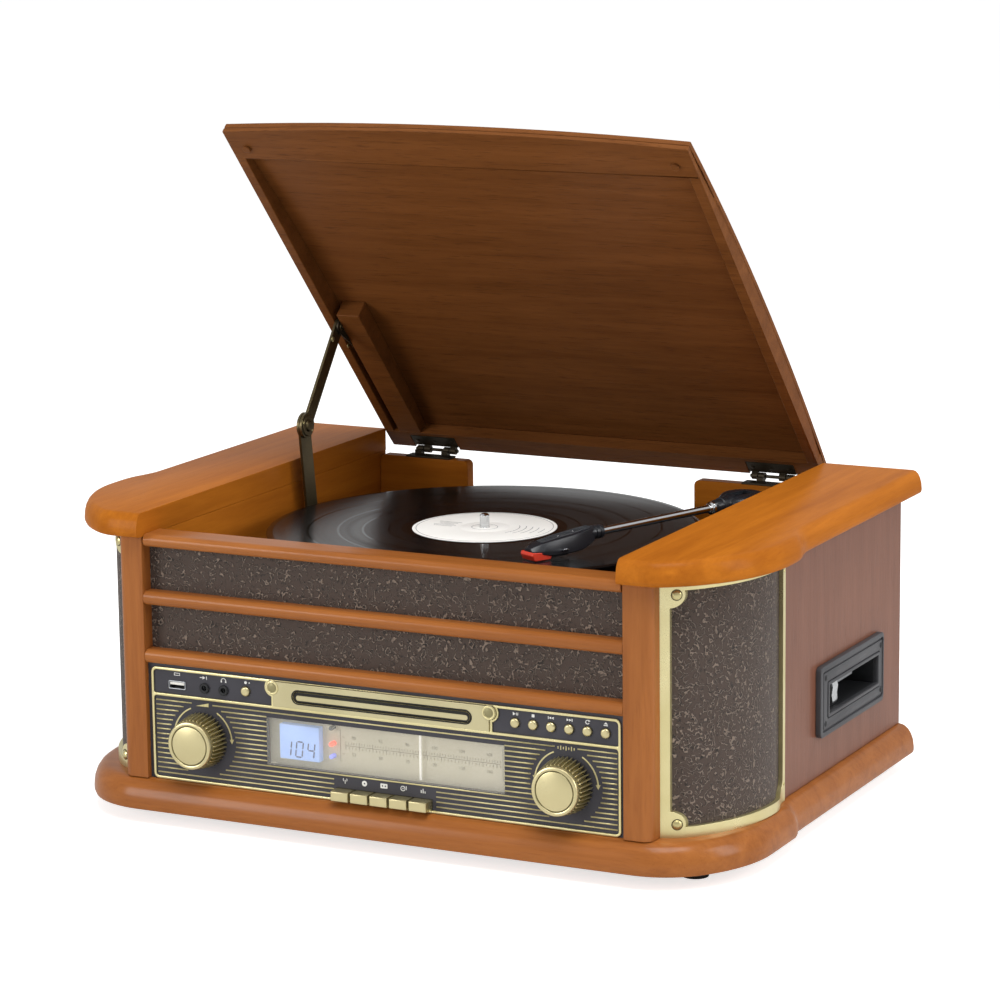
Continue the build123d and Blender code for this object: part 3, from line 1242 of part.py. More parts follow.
# ---- origin and files ----
rearmost_y = pieces["lid_panel"].bounding_box().max.Y
origin_y = (knob_front_y + rearmost_y) / 2
os.makedirs("parts", exist_ok=True)
for name, shape in pieces.items():
    solids = shape if isinstance(shape, list) else [shape]
    placed = [Pos(0, -origin_y, 0) * solid for solid in solids]
    node = placed[0] if len(placed) == 1 else Compound(children=placed)
    node.label = name
    export_step(node, f"parts/{name}.step")
print("nodes", len(pieces), "origin_y", round(origin_y, 3))
print("lid pivot", round(open_pivot_y - origin_y, 3), round(open_pivot_z, 3))
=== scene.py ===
import json
import math
import bmesh
import bpy
from mathutils import Matrix, Vector


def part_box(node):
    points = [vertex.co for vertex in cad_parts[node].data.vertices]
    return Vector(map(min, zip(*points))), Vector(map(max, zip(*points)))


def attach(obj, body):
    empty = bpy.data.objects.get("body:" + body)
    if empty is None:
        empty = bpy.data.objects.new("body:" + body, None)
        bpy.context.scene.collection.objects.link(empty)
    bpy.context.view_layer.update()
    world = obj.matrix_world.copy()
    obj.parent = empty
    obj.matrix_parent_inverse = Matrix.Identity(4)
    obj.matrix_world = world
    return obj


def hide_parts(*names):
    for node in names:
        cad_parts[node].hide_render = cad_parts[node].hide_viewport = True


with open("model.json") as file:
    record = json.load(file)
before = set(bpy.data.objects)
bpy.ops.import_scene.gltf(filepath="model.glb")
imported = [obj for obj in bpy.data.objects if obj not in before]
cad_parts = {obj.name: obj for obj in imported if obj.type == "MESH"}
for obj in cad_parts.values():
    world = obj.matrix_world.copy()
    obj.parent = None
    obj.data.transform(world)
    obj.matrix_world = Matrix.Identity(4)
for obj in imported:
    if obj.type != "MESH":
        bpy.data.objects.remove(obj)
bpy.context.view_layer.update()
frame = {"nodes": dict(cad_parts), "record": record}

mm = 0.001
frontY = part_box("panel_trim")[0].y      # the front of the panel's brass frame
record = frame["record"]
bodyOf = {node: body for body, members in record["behaviour"]["bodies"].items() for node in members}


def at(x, y, z):
    # millimetres, with y counted back from the panel's brass frame
    return Vector((x * mm, frontY + y * mm, z * mm))


def linear(code):
    # a screen colour such as "c08040" as scene-linear red, green, blue, alpha
    parts = [int(code[i:i + 2], 16) / 255 for i in (0, 2, 4)]
    return [c / 12.92 if c < 0.04045 else ((c + 0.055) / 1.055) ** 2.4 for c in parts] + [1.0]


# ---- node helpers ----
def put(tree, kind, values=None, **settings):
    node = tree.nodes.new("ShaderNode" + kind)
    for key, value in settings.items():
        setattr(node, key, value)
    for key, value in (values or {}).items():
        if isinstance(value, bpy.types.NodeSocket):
            tree.links.new(value, node.inputs[key])
        else:
            node.inputs[key].default_value = value
    return node


def blendColors(tree, factor, first, second, mode="MIX"):
    node = put(tree, "Mix", {0: factor, 6: first, 7: second}, data_type="RGBA", blend_type=mode)
    return node.outputs[2]


def sums(tree, operation, *values):
    return put(tree, "Math", dict(enumerate(values)), operation=operation).outputs[0]


def shaderGroup(name, inputs, outputs, build):
    group = bpy.data.node_groups.new(name, "ShaderNodeTree")
    for label, kind, value in inputs:
        socket = group.interface.new_socket(label, in_out="INPUT", socket_type="NodeSocket" + kind)
        if value is not None:
            socket.default_value = value
    for label, kind in outputs:
        group.interface.new_socket(label, in_out="OUTPUT", socket_type="NodeSocket" + kind)
    entry = group.nodes.new("NodeGroupInput")
    leave = group.nodes.new("NodeGroupOutput")
    for label, value in build(group, entry.outputs).items():
        group.links.new(value, leave.inputs[label])
    return group


def useGroup(tree, group, values):
    node = tree.nodes.new("ShaderNodeGroup")
    node.node_tree = group
    for key, value in values.items():
        if isinstance(value, bpy.types.NodeSocket):
            tree.links.new(value, node.inputs[key])
        else:
            node.inputs[key].default_value = value
    return node.outputs


# Long soft figure, thin dark pores and slow colour drift of stained veneer.
def buildGrain(tree, given):
    figure = put(tree, "TexNoise", {"Vector": given["Vector"], "Scale": 55.0, "Detail": 3.0,
                                    "Roughness": 0.55, "Distortion": 0.9}).outputs["Fac"]
    streaks = put(tree, "TexNoise", {"Vector": given["Vector"], "Scale": 310.0, "Detail": 4.0,
                                     "Roughness": 0.65, "Distortion": 0.25}).outputs["Fac"]
    pores = put(tree, "TexNoise", {"Vector": given["Vector"], "Scale": 900.0, "Detail": 2.0,
                                   "Roughness": 0.6}).outputs["Fac"]
    figureMask = put(tree, "MapRange", {"Value": figure, 1: 0.33, 2: 0.67}).outputs[0]
    streakMask = put(tree, "MapRange", {"Value": streaks, 1: 0.3, 2: 0.72}).outputs[0]
    poreMask = put(tree, "MapRange", {"Value": pores, 1: 0.56, 2: 0.7}).outputs[0]
    body = sums(tree, "MULTIPLY", figureMask, given["Figure"])
    thin = sums(tree, "MULTIPLY", streakMask, given["Streaks"])
    shade = sums(tree, "MINIMUM", sums(tree, "ADD", body, thin), 1.0)
    color = blendColors(tree, shade, given["Light"], given["Dark"])
    poreShade = sums(tree, "MULTIPLY", poreMask, given["Pores"])
    color = blendColors(tree, poreShade, color, given["Pore Color"])
    height = sums(tree, "SUBTRACT", sums(tree, "MULTIPLY", streaks, 0.4), poreMask)
    return {"Color": color, "Height": height}


grainGroup = shaderGroup("stained veneer", [
    ("Vector", "Vector", None), ("Light", "Color", None), ("Dark", "Color", None),
    ("Pore Color", "Color", None), ("Figure", "Float", 0.5), ("Streaks", "Float", 0.4),
    ("Pores", "Float", 0.4)], [("Color", "Color"), ("Height", "Float")], buildGrain)


# Rounds sharp edges for light, and finds them for a thin worn line.
def buildEdges(tree, given):
    soft = put(tree, "Bevel", {"Radius": given["Radius"]}, samples=4).outputs[0]
    flat = put(tree, "NewGeometry").outputs["Normal"]
    lean = put(tree, "VectorMath", {0: soft, 1: flat}, operation="DOT_PRODUCT").outputs["Value"]
    wear = put(tree, "MapRange", {"Value": lean, 1: 0.995, 2: 0.85, 3: 0.0, 4: 1.0}).outputs[0]
    return {"Normal": soft, "Wear": wear}


edgeGroup = shaderGroup("soft edges", [("Radius", "Float", 0.0005)],
                        [("Normal", "Vector"), ("Wear", "Float")], buildEdges)


# Fine grain and faint blotches that keep a plain finish from being one flat colour.
def buildSurface(tree, given):
    blotch = put(tree, "TexNoise", {"Vector": given["Vector"], "Scale": 28.0, "Detail": 2.0}).outputs["Fac"]
    grain = put(tree, "TexNoise", {"Vector": given["Vector"], "Scale": given["Scale"], "Detail": 3.0,
                                   "Roughness": 0.6}).outputs["Fac"]
    drift = sums(tree, "ADD", sums(tree, "MULTIPLY", blotch, 0.65), sums(tree, "MULTIPLY", grain, 0.35))
    mask = put(tree, "MapRange", {"Value": drift, 1: 0.35, 2: 0.65}).outputs[0]
    color = blendColors(tree, mask, given["Color"], given["Second"])
    rough = sums(tree, "ADD", given["Roughness"], sums(tree, "MULTIPLY", sums(tree, "SUBTRACT", mask, 0.5),
                                                        given["Spread"]))
    return {"Color": color, "Roughness": rough, "Height": grain}


surfaceGroup = shaderGroup("fine surface", [
    ("Vector", "Vector", None), ("Color", "Color", None), ("Second", "Color", None),
    ("Scale", "Float", 1500.0), ("Roughness", "Float", 0.4), ("Spread", "Float", 0.08)],
    [("Color", "Color"), ("Roughness", "Float"), ("Height", "Float")], buildSurface)


def startMaterial(name):
    material = bpy.data.materials.new(name)
    material.use_nodes = True
    tree = material.node_tree
    tree.nodes.clear()
    leave = tree.nodes.new("ShaderNodeOutputMaterial")
    shader = put(tree, "BsdfPrincipled")
    tree.links.new(shader.outputs[0], leave.inputs["Surface"])
    place = put(tree, "TexCoord").outputs["Object"]
    return material, tree, shader, place


def setShader(tree, shader, values):
    for key, value in values.items():
        if isinstance(value, bpy.types.NodeSocket):
            tree.links.new(value, shader.inputs[key])
        else:
            shader.inputs[key].default_value = value


# ---- wood: grain is the direction the veneer runs ----
stretch = {"x": (0.07, 1.0, 1.0), "y": (1.0, 0.07, 1.0), "z": (1.0, 1.0, 0.07)}
woodTones = {
    "honey": {"light": "b2691f", "dark": "925016", "pore": "7a4012", "figure": 0.55, "streaks": 0.35,
              "pores": 0.16, "rough": 0.34, "coat": 0.06, "ior": 1.06, "depth": 0.00003},
    "amber": {"light": "a2632f", "dark": "824a20", "pore": "673615", "figure": 0.55, "streaks": 0.35,
              "pores": 0.18, "rough": 0.32, "coat": 0.3, "ior": 1.12, "depth": 0.00003},
    "russet": {"light": "7f5543", "dark": "6d4535", "pore": "573527", "figure": 0.4, "streaks": 0.5,
               "pores": 0.35, "rough": 0.4, "coat": 0.16, "ior": 1.2, "depth": 0.00006},
    # the lid's dark brown wood, with its base colour darkened further as painted shade for the underside and rails of
    # the open lid
    "shaded_umber": {"light": "7a4a24", "dark": "5f3718", "pore": "472810", "figure": 0.5, "streaks": 0.45,
              "pores": 0.5, "rough": 0.5, "coat": 0.06, "ior": 1.15, "depth": 0.00006},
    "raw": {"light": "b08d62", "dark": "94714a", "pore": "7c5c3a", "figure": 0.4, "streaks": 0.6,
            "pores": 0.3, "rough": 0.8, "coat": 0.0, "ior": 1.3, "depth": 0.0001},
}


def woodMaterial(name, tone, grain):
    look = woodTones[tone]
    material, tree, shader, place = startMaterial(name)
    along = put(tree, "Mapping", {"Vector": place, "Scale": stretch[grain]}).outputs[0]
    figure = useGroup(tree, grainGroup, {
        "Vector": along, "Light": linear(look["light"]), "Dark": linear(look["dark"]),
        "Pore Color": linear(look["pore"]), "Figure": look["figure"], "Streaks": look["streaks"],
        "Pores": look["pores"]})
    edges = useGroup(tree, edgeGroup, {"Radius": 0.0008})
    worn = blendColors(tree, sums(tree, "MULTIPLY", edges["Wear"], 0.25), figure["Color"],
                       linear(look["light"]))
    bump = put(tree, "Bump", {"Strength": 1.0, "Distance": look["depth"], "Height": figure["Height"],
                              "Normal": edges["Normal"]}).outputs[0]
    setShader(tree, shader, {"Base Color": worn, "Roughness": look["rough"], "Coat Weight": look["coat"],
                             "Coat Roughness": 0.2, "Normal": bump, "IOR": look["ior"]})
    return material


# ---- plain finishes, one entry each ----
finishes = {
    "brass_trim": {"color": "d9cfa0", "second": "cbc08c", "metal": 0.85, "rough": 0.3, "grain": 2500, "depth": 0.000004},
    "fascia_gold": {"color": "bbb28c", "second": "b0a780", "metal": 0.45, "rough": 0.42, "grain": 3000, "depth": 0.000008},
    "screw_gold": {"color": "c4b988", "second": "b4a977", "metal": 0.85, "rough": 0.3, "grain": 2500, "depth": 0.0},
    "chrome_dull": {"color": "c9cbcd", "second": "b9bbbd", "metal": 1.0, "rough": 0.25, "grain": 2200, "depth": 0.0},
    "knob_brass": {"color": "c8bd92", "second": "bbb085", "metal": 0.85, "rough": 0.3, "grain": 2500, "depth": 0.000004},
    "print_gold": {"color": "cfc596", "second": "c2b785", "metal": 0.5, "rough": 0.4, "grain": 2500, "depth": 0.0},
    "print_white": {"color": "e4e4e0", "second": "d8d8d4", "metal": 0.0, "rough": 0.6, "grain": 2500, "depth": 0.0},
    "print_grey": {"color": "8f8a78", "second": "868170", "metal": 0.0, "rough": 0.7, "grain": 2500, "depth": 0.0},
    "panel_black": {"color": "403f45", "second": "38373c", "metal": 0.0, "rough": 0.5, "grain": 1800, "depth": 0.000006, "ior": 1.3},
    "deck_black": {"color": "1d1e20", "second": "17181a", "metal": 0.0, "rough": 0.6, "grain": 1400, "depth": 0.00002},
    "mat_rubber": {"color": "17171a", "second": "111113", "metal": 0.0, "rough": 0.85, "grain": 1200, "depth": 0.00002},
    "belt_rubber": {"color": "101010", "second": "0b0b0b", "metal": 0.0, "rough": 0.8, "grain": 1500, "depth": 0.00001},
    "foot_rubber": {"color": "222326", "second": "1a1b1d", "metal": 0.0, "rough": 0.8, "grain": 1200, "depth": 0.00002},
    "arm_black": {"color": "1f2126", "second": "191b1f", "metal": 0.0, "rough": 0.3, "grain": 1600, "depth": 0.000008},
    "bezel_grey": {"color": "47474a", "second": "3e3e41", "metal": 0.0, "rough": 0.48, "grain": 1500, "depth": 0.000015},
    "well_dark": {"color": "232426", "second": "1b1c1e", "metal": 0.0, "rough": 0.55, "grain": 1500, "depth": 0.000015},
    "plastic_grey": {"color": "85878a", "second": "7a7c7f", "metal": 0.0, "rough": 0.5, "grain": 1500, "depth": 0.00001},
    "circuit_green": {"color": "1f5a38", "second": "184a2d", "metal": 0.0, "rough": 0.4, "grain": 900, "depth": 0.00002},
    "iron": {"color": "4b4d50", "second": "3a3b3e", "metal": 0.8, "rough": 0.55, "grain": 900, "depth": 0.00003},
    "back_fibre": {"color": "2a2522", "second": "211d1a", "metal": 0.0, "rough": 0.85, "grain": 1000, "depth": 0.00004},
    "steel": {"color": "b9bcc0", "second": "a6a9ad", "metal": 1.0, "rough": 0.32, "grain": 2200, "depth": 0.000006},
    "chrome": {"color": "d2d4d6", "second": "c8cacc", "metal": 1.0, "rough": 0.07, "grain": 2200, "depth": 0.0},
    # the hinges' dark bronze, darkened further than the stay's bronze as painted shade for the hinges and their leaf
    # screws in the lid's shadow
    "shaded_hinge_bronze": {"color": "40382a", "second": "352e22", "metal": 0.7, "rough": 0.5, "grain": 1300, "depth": 0.00001},
    # painted shade for recesses: the discs and crosses in the grille screws' recesses and the ring at the floor of each
    # knob's groove
    "recess_shade_dark": {"color": "5e573c", "second": "524c34", "metal": 0.6, "rough": 0.4, "grain": 2000, "depth": 0.0},
    "ear_olive": {"color": "8c8560", "second": "7f7855", "metal": 0.5, "rough": 0.4, "grain": 2000, "depth": 0.0},
    # black for the rings round the CD slot and tray: painted shadow of the gap round the tray
    "gap_shadow_black": {"color": "17150f", "second": "12110d", "metal": 0.0, "rough": 0.7, "grain": 2000, "depth": 0.0},
    "bronze": {"color": "6d6247", "second": "544a33", "metal": 0.85, "rough": 0.36, "grain": 1300, "depth": 0.00001},
    "guard_red": {"color": "d8402c", "second": "c93724", "metal": 0.0, "rough": 0.3, "grain": 1500, "depth": 0.0},
    "label_paper": {"color": "fbfaf6", "second": "f4f3ee", "metal": 0.0, "rough": 0.65, "grain": 2200, "depth": 0.00001},
    "label_ink": {"color": "9a9a9c", "second": "8c8c8e", "metal": 0.0, "rough": 0.6, "grain": 2200, "depth": 0.0},
    "dial_card": {"color": "d3ccb6", "second": "cac3ab", "metal": 0.0, "rough": 0.6, "grain": 1200, "depth": 0.0},
    "segment_ink": {"color": "4a5a80", "second": "42517a", "metal": 0.0, "rough": 0.4, "grain": 2000, "depth": 0.0},
    "lamp_off": {"color": "5a5f68", "second": "50545c", "metal": 0.0, "rough": 0.25, "grain": 2000, "depth": 0.0},
    "socket_white": {"color": "e3e1da", "second": "d8d6cf", "metal": 0.0, "rough": 0.4, "grain": 1500, "depth": 0.0},
    "socket_red": {"color": "b8261f", "second": "a8201a", "metal": 0.0, "rough": 0.4, "grain": 1500, "depth": 0.0},
}
made = {}


def plainMaterial(name):
    if name in made:
        return made[name]
    look = finishes[name]
    material, tree, shader, place = startMaterial(name)
    surface = useGroup(tree, surfaceGroup, {
        "Vector": place, "Color": linear(look["color"]), "Second": linear(look["second"]),
        "Scale": float(look["grain"]), "Roughness": look["rough"], "Spread": 0.08})
    edges = useGroup(tree, edgeGroup, {"Radius": 0.0004})
    bump = put(tree, "Bump", {"Strength": 1.0, "Distance": look["depth"], "Height": surface["Height"],
                              "Normal": edges["Normal"]}).outputs[0]
    setShader(tree, shader, {"Base Color": surface["Color"], "Roughness": surface["Roughness"],
                             "Metallic": look["metal"], "Normal": bump, "IOR": look.get("ior", 1.4)})
    made[name] = material
    return material


def glowMaterial(name, color, strength):
    material, tree, shader, place = startMaterial(name)
    cloud = put(tree, "TexNoise", {"Vector": place, "Scale": 60.0}).outputs["Fac"]
    tint = blendColors(tree, cloud, linear(color), [c * 0.85 for c in linear(color)])
    setShader(tree, shader, {"Base Color": tint, "Emission Color": tint, "Emission Strength": strength,
                             "Roughness": 0.25})
    made[name] = material
    return material


# Embossed speaker cloth: short crinkled ridges, with a painted highlight on the ridge tops and painted shade in the
# gutters at their feet.
def clothMaterial():
    # low is painted shade in the gutters and also the dark of the threads; high is a painted highlight on the ridge
    # tops
    look = {"low": "1c1612", "mid": "493b33", "high": "9b897a", "ridge": 190.0, "bands": 4.0, "depth": 0.0012,
            "threads": 2400.0}
    material, tree, shader, place = startMaterial("cloth")
    wander = put(tree, "TexNoise", {"Vector": place, "Scale": 380.0, "Detail": 1.0}).outputs["Color"]
    shift = put(tree, "VectorMath", {0: wander, 1: (0.5, 0.5, 0.5)}, operation="SUBTRACT").outputs[0]
    shift = put(tree, "VectorMath", {0: shift, "Scale": 0.004}, operation="SCALE").outputs[0]
    moved = put(tree, "VectorMath", {0: place, 1: shift}, operation="ADD").outputs[0]
    hills = put(tree, "TexNoise", {"Vector": moved, "Scale": look["ridge"], "Detail": 0.0}).outputs["Fac"]
    folded = sums(tree, "PINGPONG", sums(tree, "MULTIPLY", hills, look["bands"]), 0.5)
    patchy = put(tree, "TexNoise", {"Vector": place, "Scale": 300.0, "Detail": 1.0}).outputs["Fac"]
    keep = put(tree, "MapRange", {"Value": patchy, 1: 0.4, 2: 0.48}).outputs[0]
    ridge = sums(tree, "MULTIPLY", put(tree, "MapRange", {"Value": folded, 1: 0.33, 2: 0.43}).outputs[0], keep)
    foot = sums(tree, "MULTIPLY", put(tree, "MapRange", {"Value": folded, 1: 0.16, 2: 0.3}).outputs[0], keep)
    gutter_shade = sums(tree, "SUBTRACT", foot, ridge)
    threads = put(tree, "TexNoise", {"Vector": place, "Scale": look["threads"], "Detail": 2.0}).outputs["Fac"]
    height = sums(tree, "ADD", ridge, sums(tree, "MULTIPLY", threads, 0.25))
    # painted shade: the gutter at the foot of each ridge darkened
    color = blendColors(tree, gutter_shade, linear(look["mid"]), linear(look["low"]))
    # painted highlight: the ridge tops lightened
    color = blendColors(tree, sums(tree, "MULTIPLY", ridge, 0.75), color, linear(look["high"]))
    color = blendColors(tree, sums(tree, "MULTIPLY", threads, 0.3), color, linear(look["low"]))
    bump = put(tree, "Bump", {"Strength": 1.0, "Distance": look["depth"], "Height": height}).outputs[0]
    setShader(tree, shader, {"Base Color": color, "Roughness": 0.6, "Normal": bump, "Sheen Weight": 0.08,
                             "Sheen Roughness": 0.5, "Specular IOR Level": 0.3})
    made["cloth"] = material
    return material


# Pressed grooves: rings of slightly different depth, a smooth run-out and gaps between tracks.
def vinylMaterial():
    look = {"x": -7.0, "y": 170.0, "groove": 1500.0, "depth": 0.000004, "gaps": (66.0, 84.0, 101.0, 122.0)}
    centre = at(look["x"], look["y"], 0)
    material, tree, shader, place = startMaterial("vinyl")
    moved = put(tree, "Mapping", {"Vector": place, "Location": (-centre.x, -centre.y, 0.0),
                                  "Scale": (1.0, 1.0, 0.0)}).outputs[0]
    reach = put(tree, "VectorMath", {0: moved}, operation="LENGTH").outputs["Value"]
    line = put(tree, "CombineXYZ", {"X": reach}).outputs[0]
    rings = put(tree, "TexNoise", {"Vector": line, "Scale": look["groove"], "Detail": 3.0,
                                   "Roughness": 0.8}).outputs["Fac"]
    bands = put(tree, "TexNoise", {"Vector": line, "Scale": 120.0, "Detail": 2.0}).outputs["Fac"]
    groovy = sums(tree, "MULTIPLY", sums(tree, "GREATER_THAN", reach, 57.0 * mm),
                  sums(tree, "LESS_THAN", reach, 146.0 * mm))
    for gap in look["gaps"]:
        away = sums(tree, "ABSOLUTE", sums(tree, "SUBTRACT", reach, gap * mm))
        groovy = sums(tree, "MULTIPLY", groovy, sums(tree, "GREATER_THAN", away, 0.8 * mm))
    height = sums(tree, "MULTIPLY", rings, groovy)
    color = blendColors(tree, bands, linear("0b0b0c"), linear("101011"))
    rough = sums(tree, "ADD", 0.12, sums(tree, "MULTIPLY", groovy, sums(tree, "MULTIPLY", bands, 0.2)))
    bump = put(tree, "Bump", {"Strength": 1.0, "Distance": look["depth"], "Height": height}).outputs[0]
    setShader(tree, shader, {"Base Color": color, "Roughness": rough, "Normal": bump, "IOR": 1.42})
    made["vinyl"] = material
    return material


# Clear window with a faint milky veil.
def windowMaterial():
    material, tree, shader, place = startMaterial("window")
    haze = put(tree, "TexNoise", {"Vector": place, "Scale": 18.0}).outputs["Fac"]
    tint = blendColors(tree, haze, linear("e6e2d6"), linear("dcd8cb"))
    setShader(tree, shader, {"Base Color": tint, "Roughness": 0.08, "Alpha": 0.14})
    made["window"] = material
    return material


woods = {(tone, grain): woodMaterial(f"{tone}_{grain}", tone, grain)
         for tone, grain in (("honey", "x"), ("honey", "y"), ("amber", "x"), ("amber", "z"),
                             ("russet", "z"), ("shaded_umber", "x"), ("raw", "x"))}
clothMaterial()
vinylMaterial()
windowMaterial()
glowMaterial("display", "9fbef5", 0.35)
glowMaterial("lamp_red", "ff5a48", 1.6)
glowMaterial("lamp_blue", "8f9cff", 0.5)
glowMaterial("pointer_white", "fbf8f0", 0.25)
print("stage: materials")


def material(name):
    return made[name] if name in made else plainMaterial(name)


# ---- mesh helpers ----
def finishPiece(name, mesh, look, body, replaced=()):
    piece = bpy.data.objects.new(name, mesh)
    bpy.context.scene.collection.objects.link(piece)
    mesh.materials.clear()
    mesh.materials.append(look)
    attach(piece, body)
    if replaced:
        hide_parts(*replaced)
    return piece


def markSharp(bm, degrees=35):
    for face in bm.faces:
        face.smooth = True
    for edge in bm.edges:
        edge.smooth = len(edge.link_faces) == 2 and edge.calc_face_angle(0) < math.radians(degrees)


def meshFrom(bm, name):
    markSharp(bm)
    mesh = bpy.data.meshes.new(name)
    bm.to_mesh(mesh)
    bm.free()
    return mesh


def addBox(bm, low, high):
    corners = [bm.verts.new((x, y, z)) for x in (low[0], high[0]) for y in (low[1], high[1])
               for z in (low[2], high[2])]
    for ring in ((0, 1, 3, 2), (4, 6, 7, 5), (0, 4, 5, 1), (2, 3, 7, 6), (0, 2, 6, 4), (1, 5, 7, 3)):
        bm.faces.new([corners[i] for i in ring])


def addTurned(bm, profile, origin, axis, segments=48):
    # turns (distance along, radius) points about an axis; a radius of 0 closes the end
    along = Vector(axis).normalized()
    side = along.orthogonal().normalized()
    across = along.cross(side)
    rings = []
    for distance, radius in profile:
        middle = Vector(origin) + along * distance
        if radius == 0:
            rings.append([bm.verts.new(middle)])
            continue
        rings.append([bm.verts.new(middle + (side * math.cos(a) + across * math.sin(a)) * radius)
                      for a in (2 * math.pi * i / segments for i in range(segments))])
    for first, second in zip(rings, rings[1:]):
        for i in range(segments):
            j = (i + 1) % segments
            if len(first) == 1:
                bm.faces.new((first[0], second[j], second[i]))
            elif len(second) == 1:
                bm.faces.new((first[i], first[j], second[0]))
            else:
                bm.faces.new((first[i], first[j], second[j], second[i]))


def softCopy(node, look, width=0.0, segments=2, angle=40, replace=True):
    # the node's own shape, joined up, with its sharp edges rounded
    bm = bmesh.new()
    bm.from_mesh(frame["nodes"][node].data)
    bmesh.ops.remove_doubles(bm, verts=bm.verts, dist=0.000002)
    if width:
        bmesh.ops.dissolve_limit(bm, angle_limit=math.radians(0.6), verts=bm.verts, edges=bm.edges)
    markSharp(bm, angle)
    for layer in list(bm.loops.layers.uv):
        bm.loops.layers.uv.remove(layer)
    mesh = bpy.data.meshes.new(node + "_soft")
    bm.to_mesh(mesh)
    bm.free()
    piece = bpy.data.objects.new(node + "_soft", mesh)
    bpy.context.scene.collection.objects.link(piece)
    if width:
        rounding = piece.modifiers.new("rounding", "BEVEL")
        rounding.width = width
        rounding.segments = segments
        rounding.limit_method = "ANGLE"
        rounding.angle_limit = math.radians(angle)
        rounding.use_clamp_overlap = True
        rounding.harden_normals = True
        piece.data = bpy.data.meshes.new_from_object(
            piece.evaluated_get(bpy.context.evaluated_depsgraph_get()))
        piece.modifiers.clear()
    piece.data.materials.clear()
    piece.data.materials.append(look)
    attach(piece, bodyOf[node])
    if replace:
        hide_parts(node)
    return piece


def facing(origin, right, up):
    # a flat drawing's own x and y laid along right and up
    right, up = Vector(right).normalized(), Vector(up).normalized()
    out = right.cross(up)
    return Matrix.Translation(origin) @ Matrix((right, up, out)).transposed().to_4x4()


def plate(name, outlines, thickness, rounding, place):
    # closed outlines in mm, the first the outer one and others holes, made a solid plate
    curve = bpy.data.curves.new(name, "CURVE")
    curve.dimensions = "2D"
    curve.fill_mode = "BOTH"
    for outline in outlines:
        spline = curve.splines.new("POLY")
        spline.points.add(len(outline) - 1)
        for point, (x, y) in zip(spline.points, outline):
            point.co = (x * mm, y * mm, 0, 1)
        spline.use_cyclic_u = True
    curve.extrude = max(thickness * mm / 2 - rounding * mm, 0.00001)
    curve.bevel_depth = rounding * mm
    curve.bevel_resolution = 2
    curve.offset = -rounding * mm
    holder = bpy.data.objects.new(name, curve)
    bpy.context.scene.collection.objects.link(holder)
    mesh = bpy.data.meshes.new_from_object(holder.evaluated_get(bpy.context.evaluated_depsgraph_get()))
    bpy.data.objects.remove(holder)
    mesh.transform(Matrix.Translation((0, 0, thickness * mm / 2)))
    mesh.transform(place)
    bm = bmesh.new()
    bm.from_mesh(mesh)
    bmesh.ops.remove_doubles(bm, verts=bm.verts, dist=0.000002)
    markSharp(bm)
    bm.to_mesh(mesh)
    bm.free()
    return mesh


def roundedBox(x0, x1, z0, z1, radius, steps=6):
    corners = [(x1 - radius, z1 - radius, 0), (x0 + radius, z1 - radius, 90),
               (x0 + radius, z0 + radius, 180), (x1 - radius, z0 + radius, 270)]
    return [(cx + radius * math.cos(math.radians(a + 90 * i / steps)),
             cz + radius * math.sin(math.radians(a + 90 * i / steps)))
            for cx, cz, a in corners for i in range(steps + 1)]


def circle(cx, cz, radius, steps=32):
    return [(cx + radius * math.cos(2 * math.pi * i / steps), cz + radius * math.sin(2 * math.pi * i / steps))
            for i in range(steps)]


def joinMeshes(name, meshes):
    bm = bmesh.new()
    for mesh in meshes:
        bm.from_mesh(mesh)
    joined = bpy.data.meshes.new(name)
    bm.to_mesh(joined)
    bm.free()
    return joined


# ---- geometry nodes: one small part at many places ----
def placingTree():
    tree = bpy.data.node_groups.new("part at every point", "GeometryNodeTree")
    for label, kind in (("Points", "Geometry"), ("Part", "Object"), ("Finish", "Material")):
        tree.interface.new_socket(label, in_out="INPUT", socket_type="NodeSocket" + kind)
    tree.interface.new_socket("Geometry", in_out="OUTPUT", socket_type="NodeSocketGeometry")
    entry = tree.nodes.new("NodeGroupInput")
    leave = tree.nodes.new("NodeGroupOutput")
    source = tree.nodes.new("GeometryNodeObjectInfo")
    spread = tree.nodes.new("GeometryNodeInstanceOnPoints")
    turn = tree.nodes.new("GeometryNodeInputNamedAttribute")
    turn.data_type = "FLOAT_VECTOR"
    turn.inputs["Name"].default_value = "turn"
    size = tree.nodes.new("GeometryNodeInputNamedAttribute")
    size.data_type = "FLOAT_VECTOR"
    size.inputs["Name"].default_value = "size"
    angle = tree.nodes.new("FunctionNodeEulerToRotation")
    solid = tree.nodes.new("GeometryNodeRealizeInstances")
    paint = tree.nodes.new("GeometryNodeSetMaterial")
    link = tree.links.new
    link(entry.outputs["Points"], spread.inputs["Points"])
    link(entry.outputs["Part"], source.inputs["Object"])
    link(source.outputs["Geometry"], spread.inputs["Instance"])
    link(turn.outputs["Attribute"], angle.inputs[0])
    link(angle.outputs[0], spread.inputs["Rotation"])
    link(size.outputs["Attribute"], spread.inputs["Scale"])
    link(spread.outputs["Instances"], solid.inputs["Geometry"])
    link(solid.outputs["Geometry"], paint.inputs["Geometry"])
    link(entry.outputs["Finish"], paint.inputs["Material"])
    link(paint.outputs["Geometry"], leave.inputs["Geometry"])
    return tree


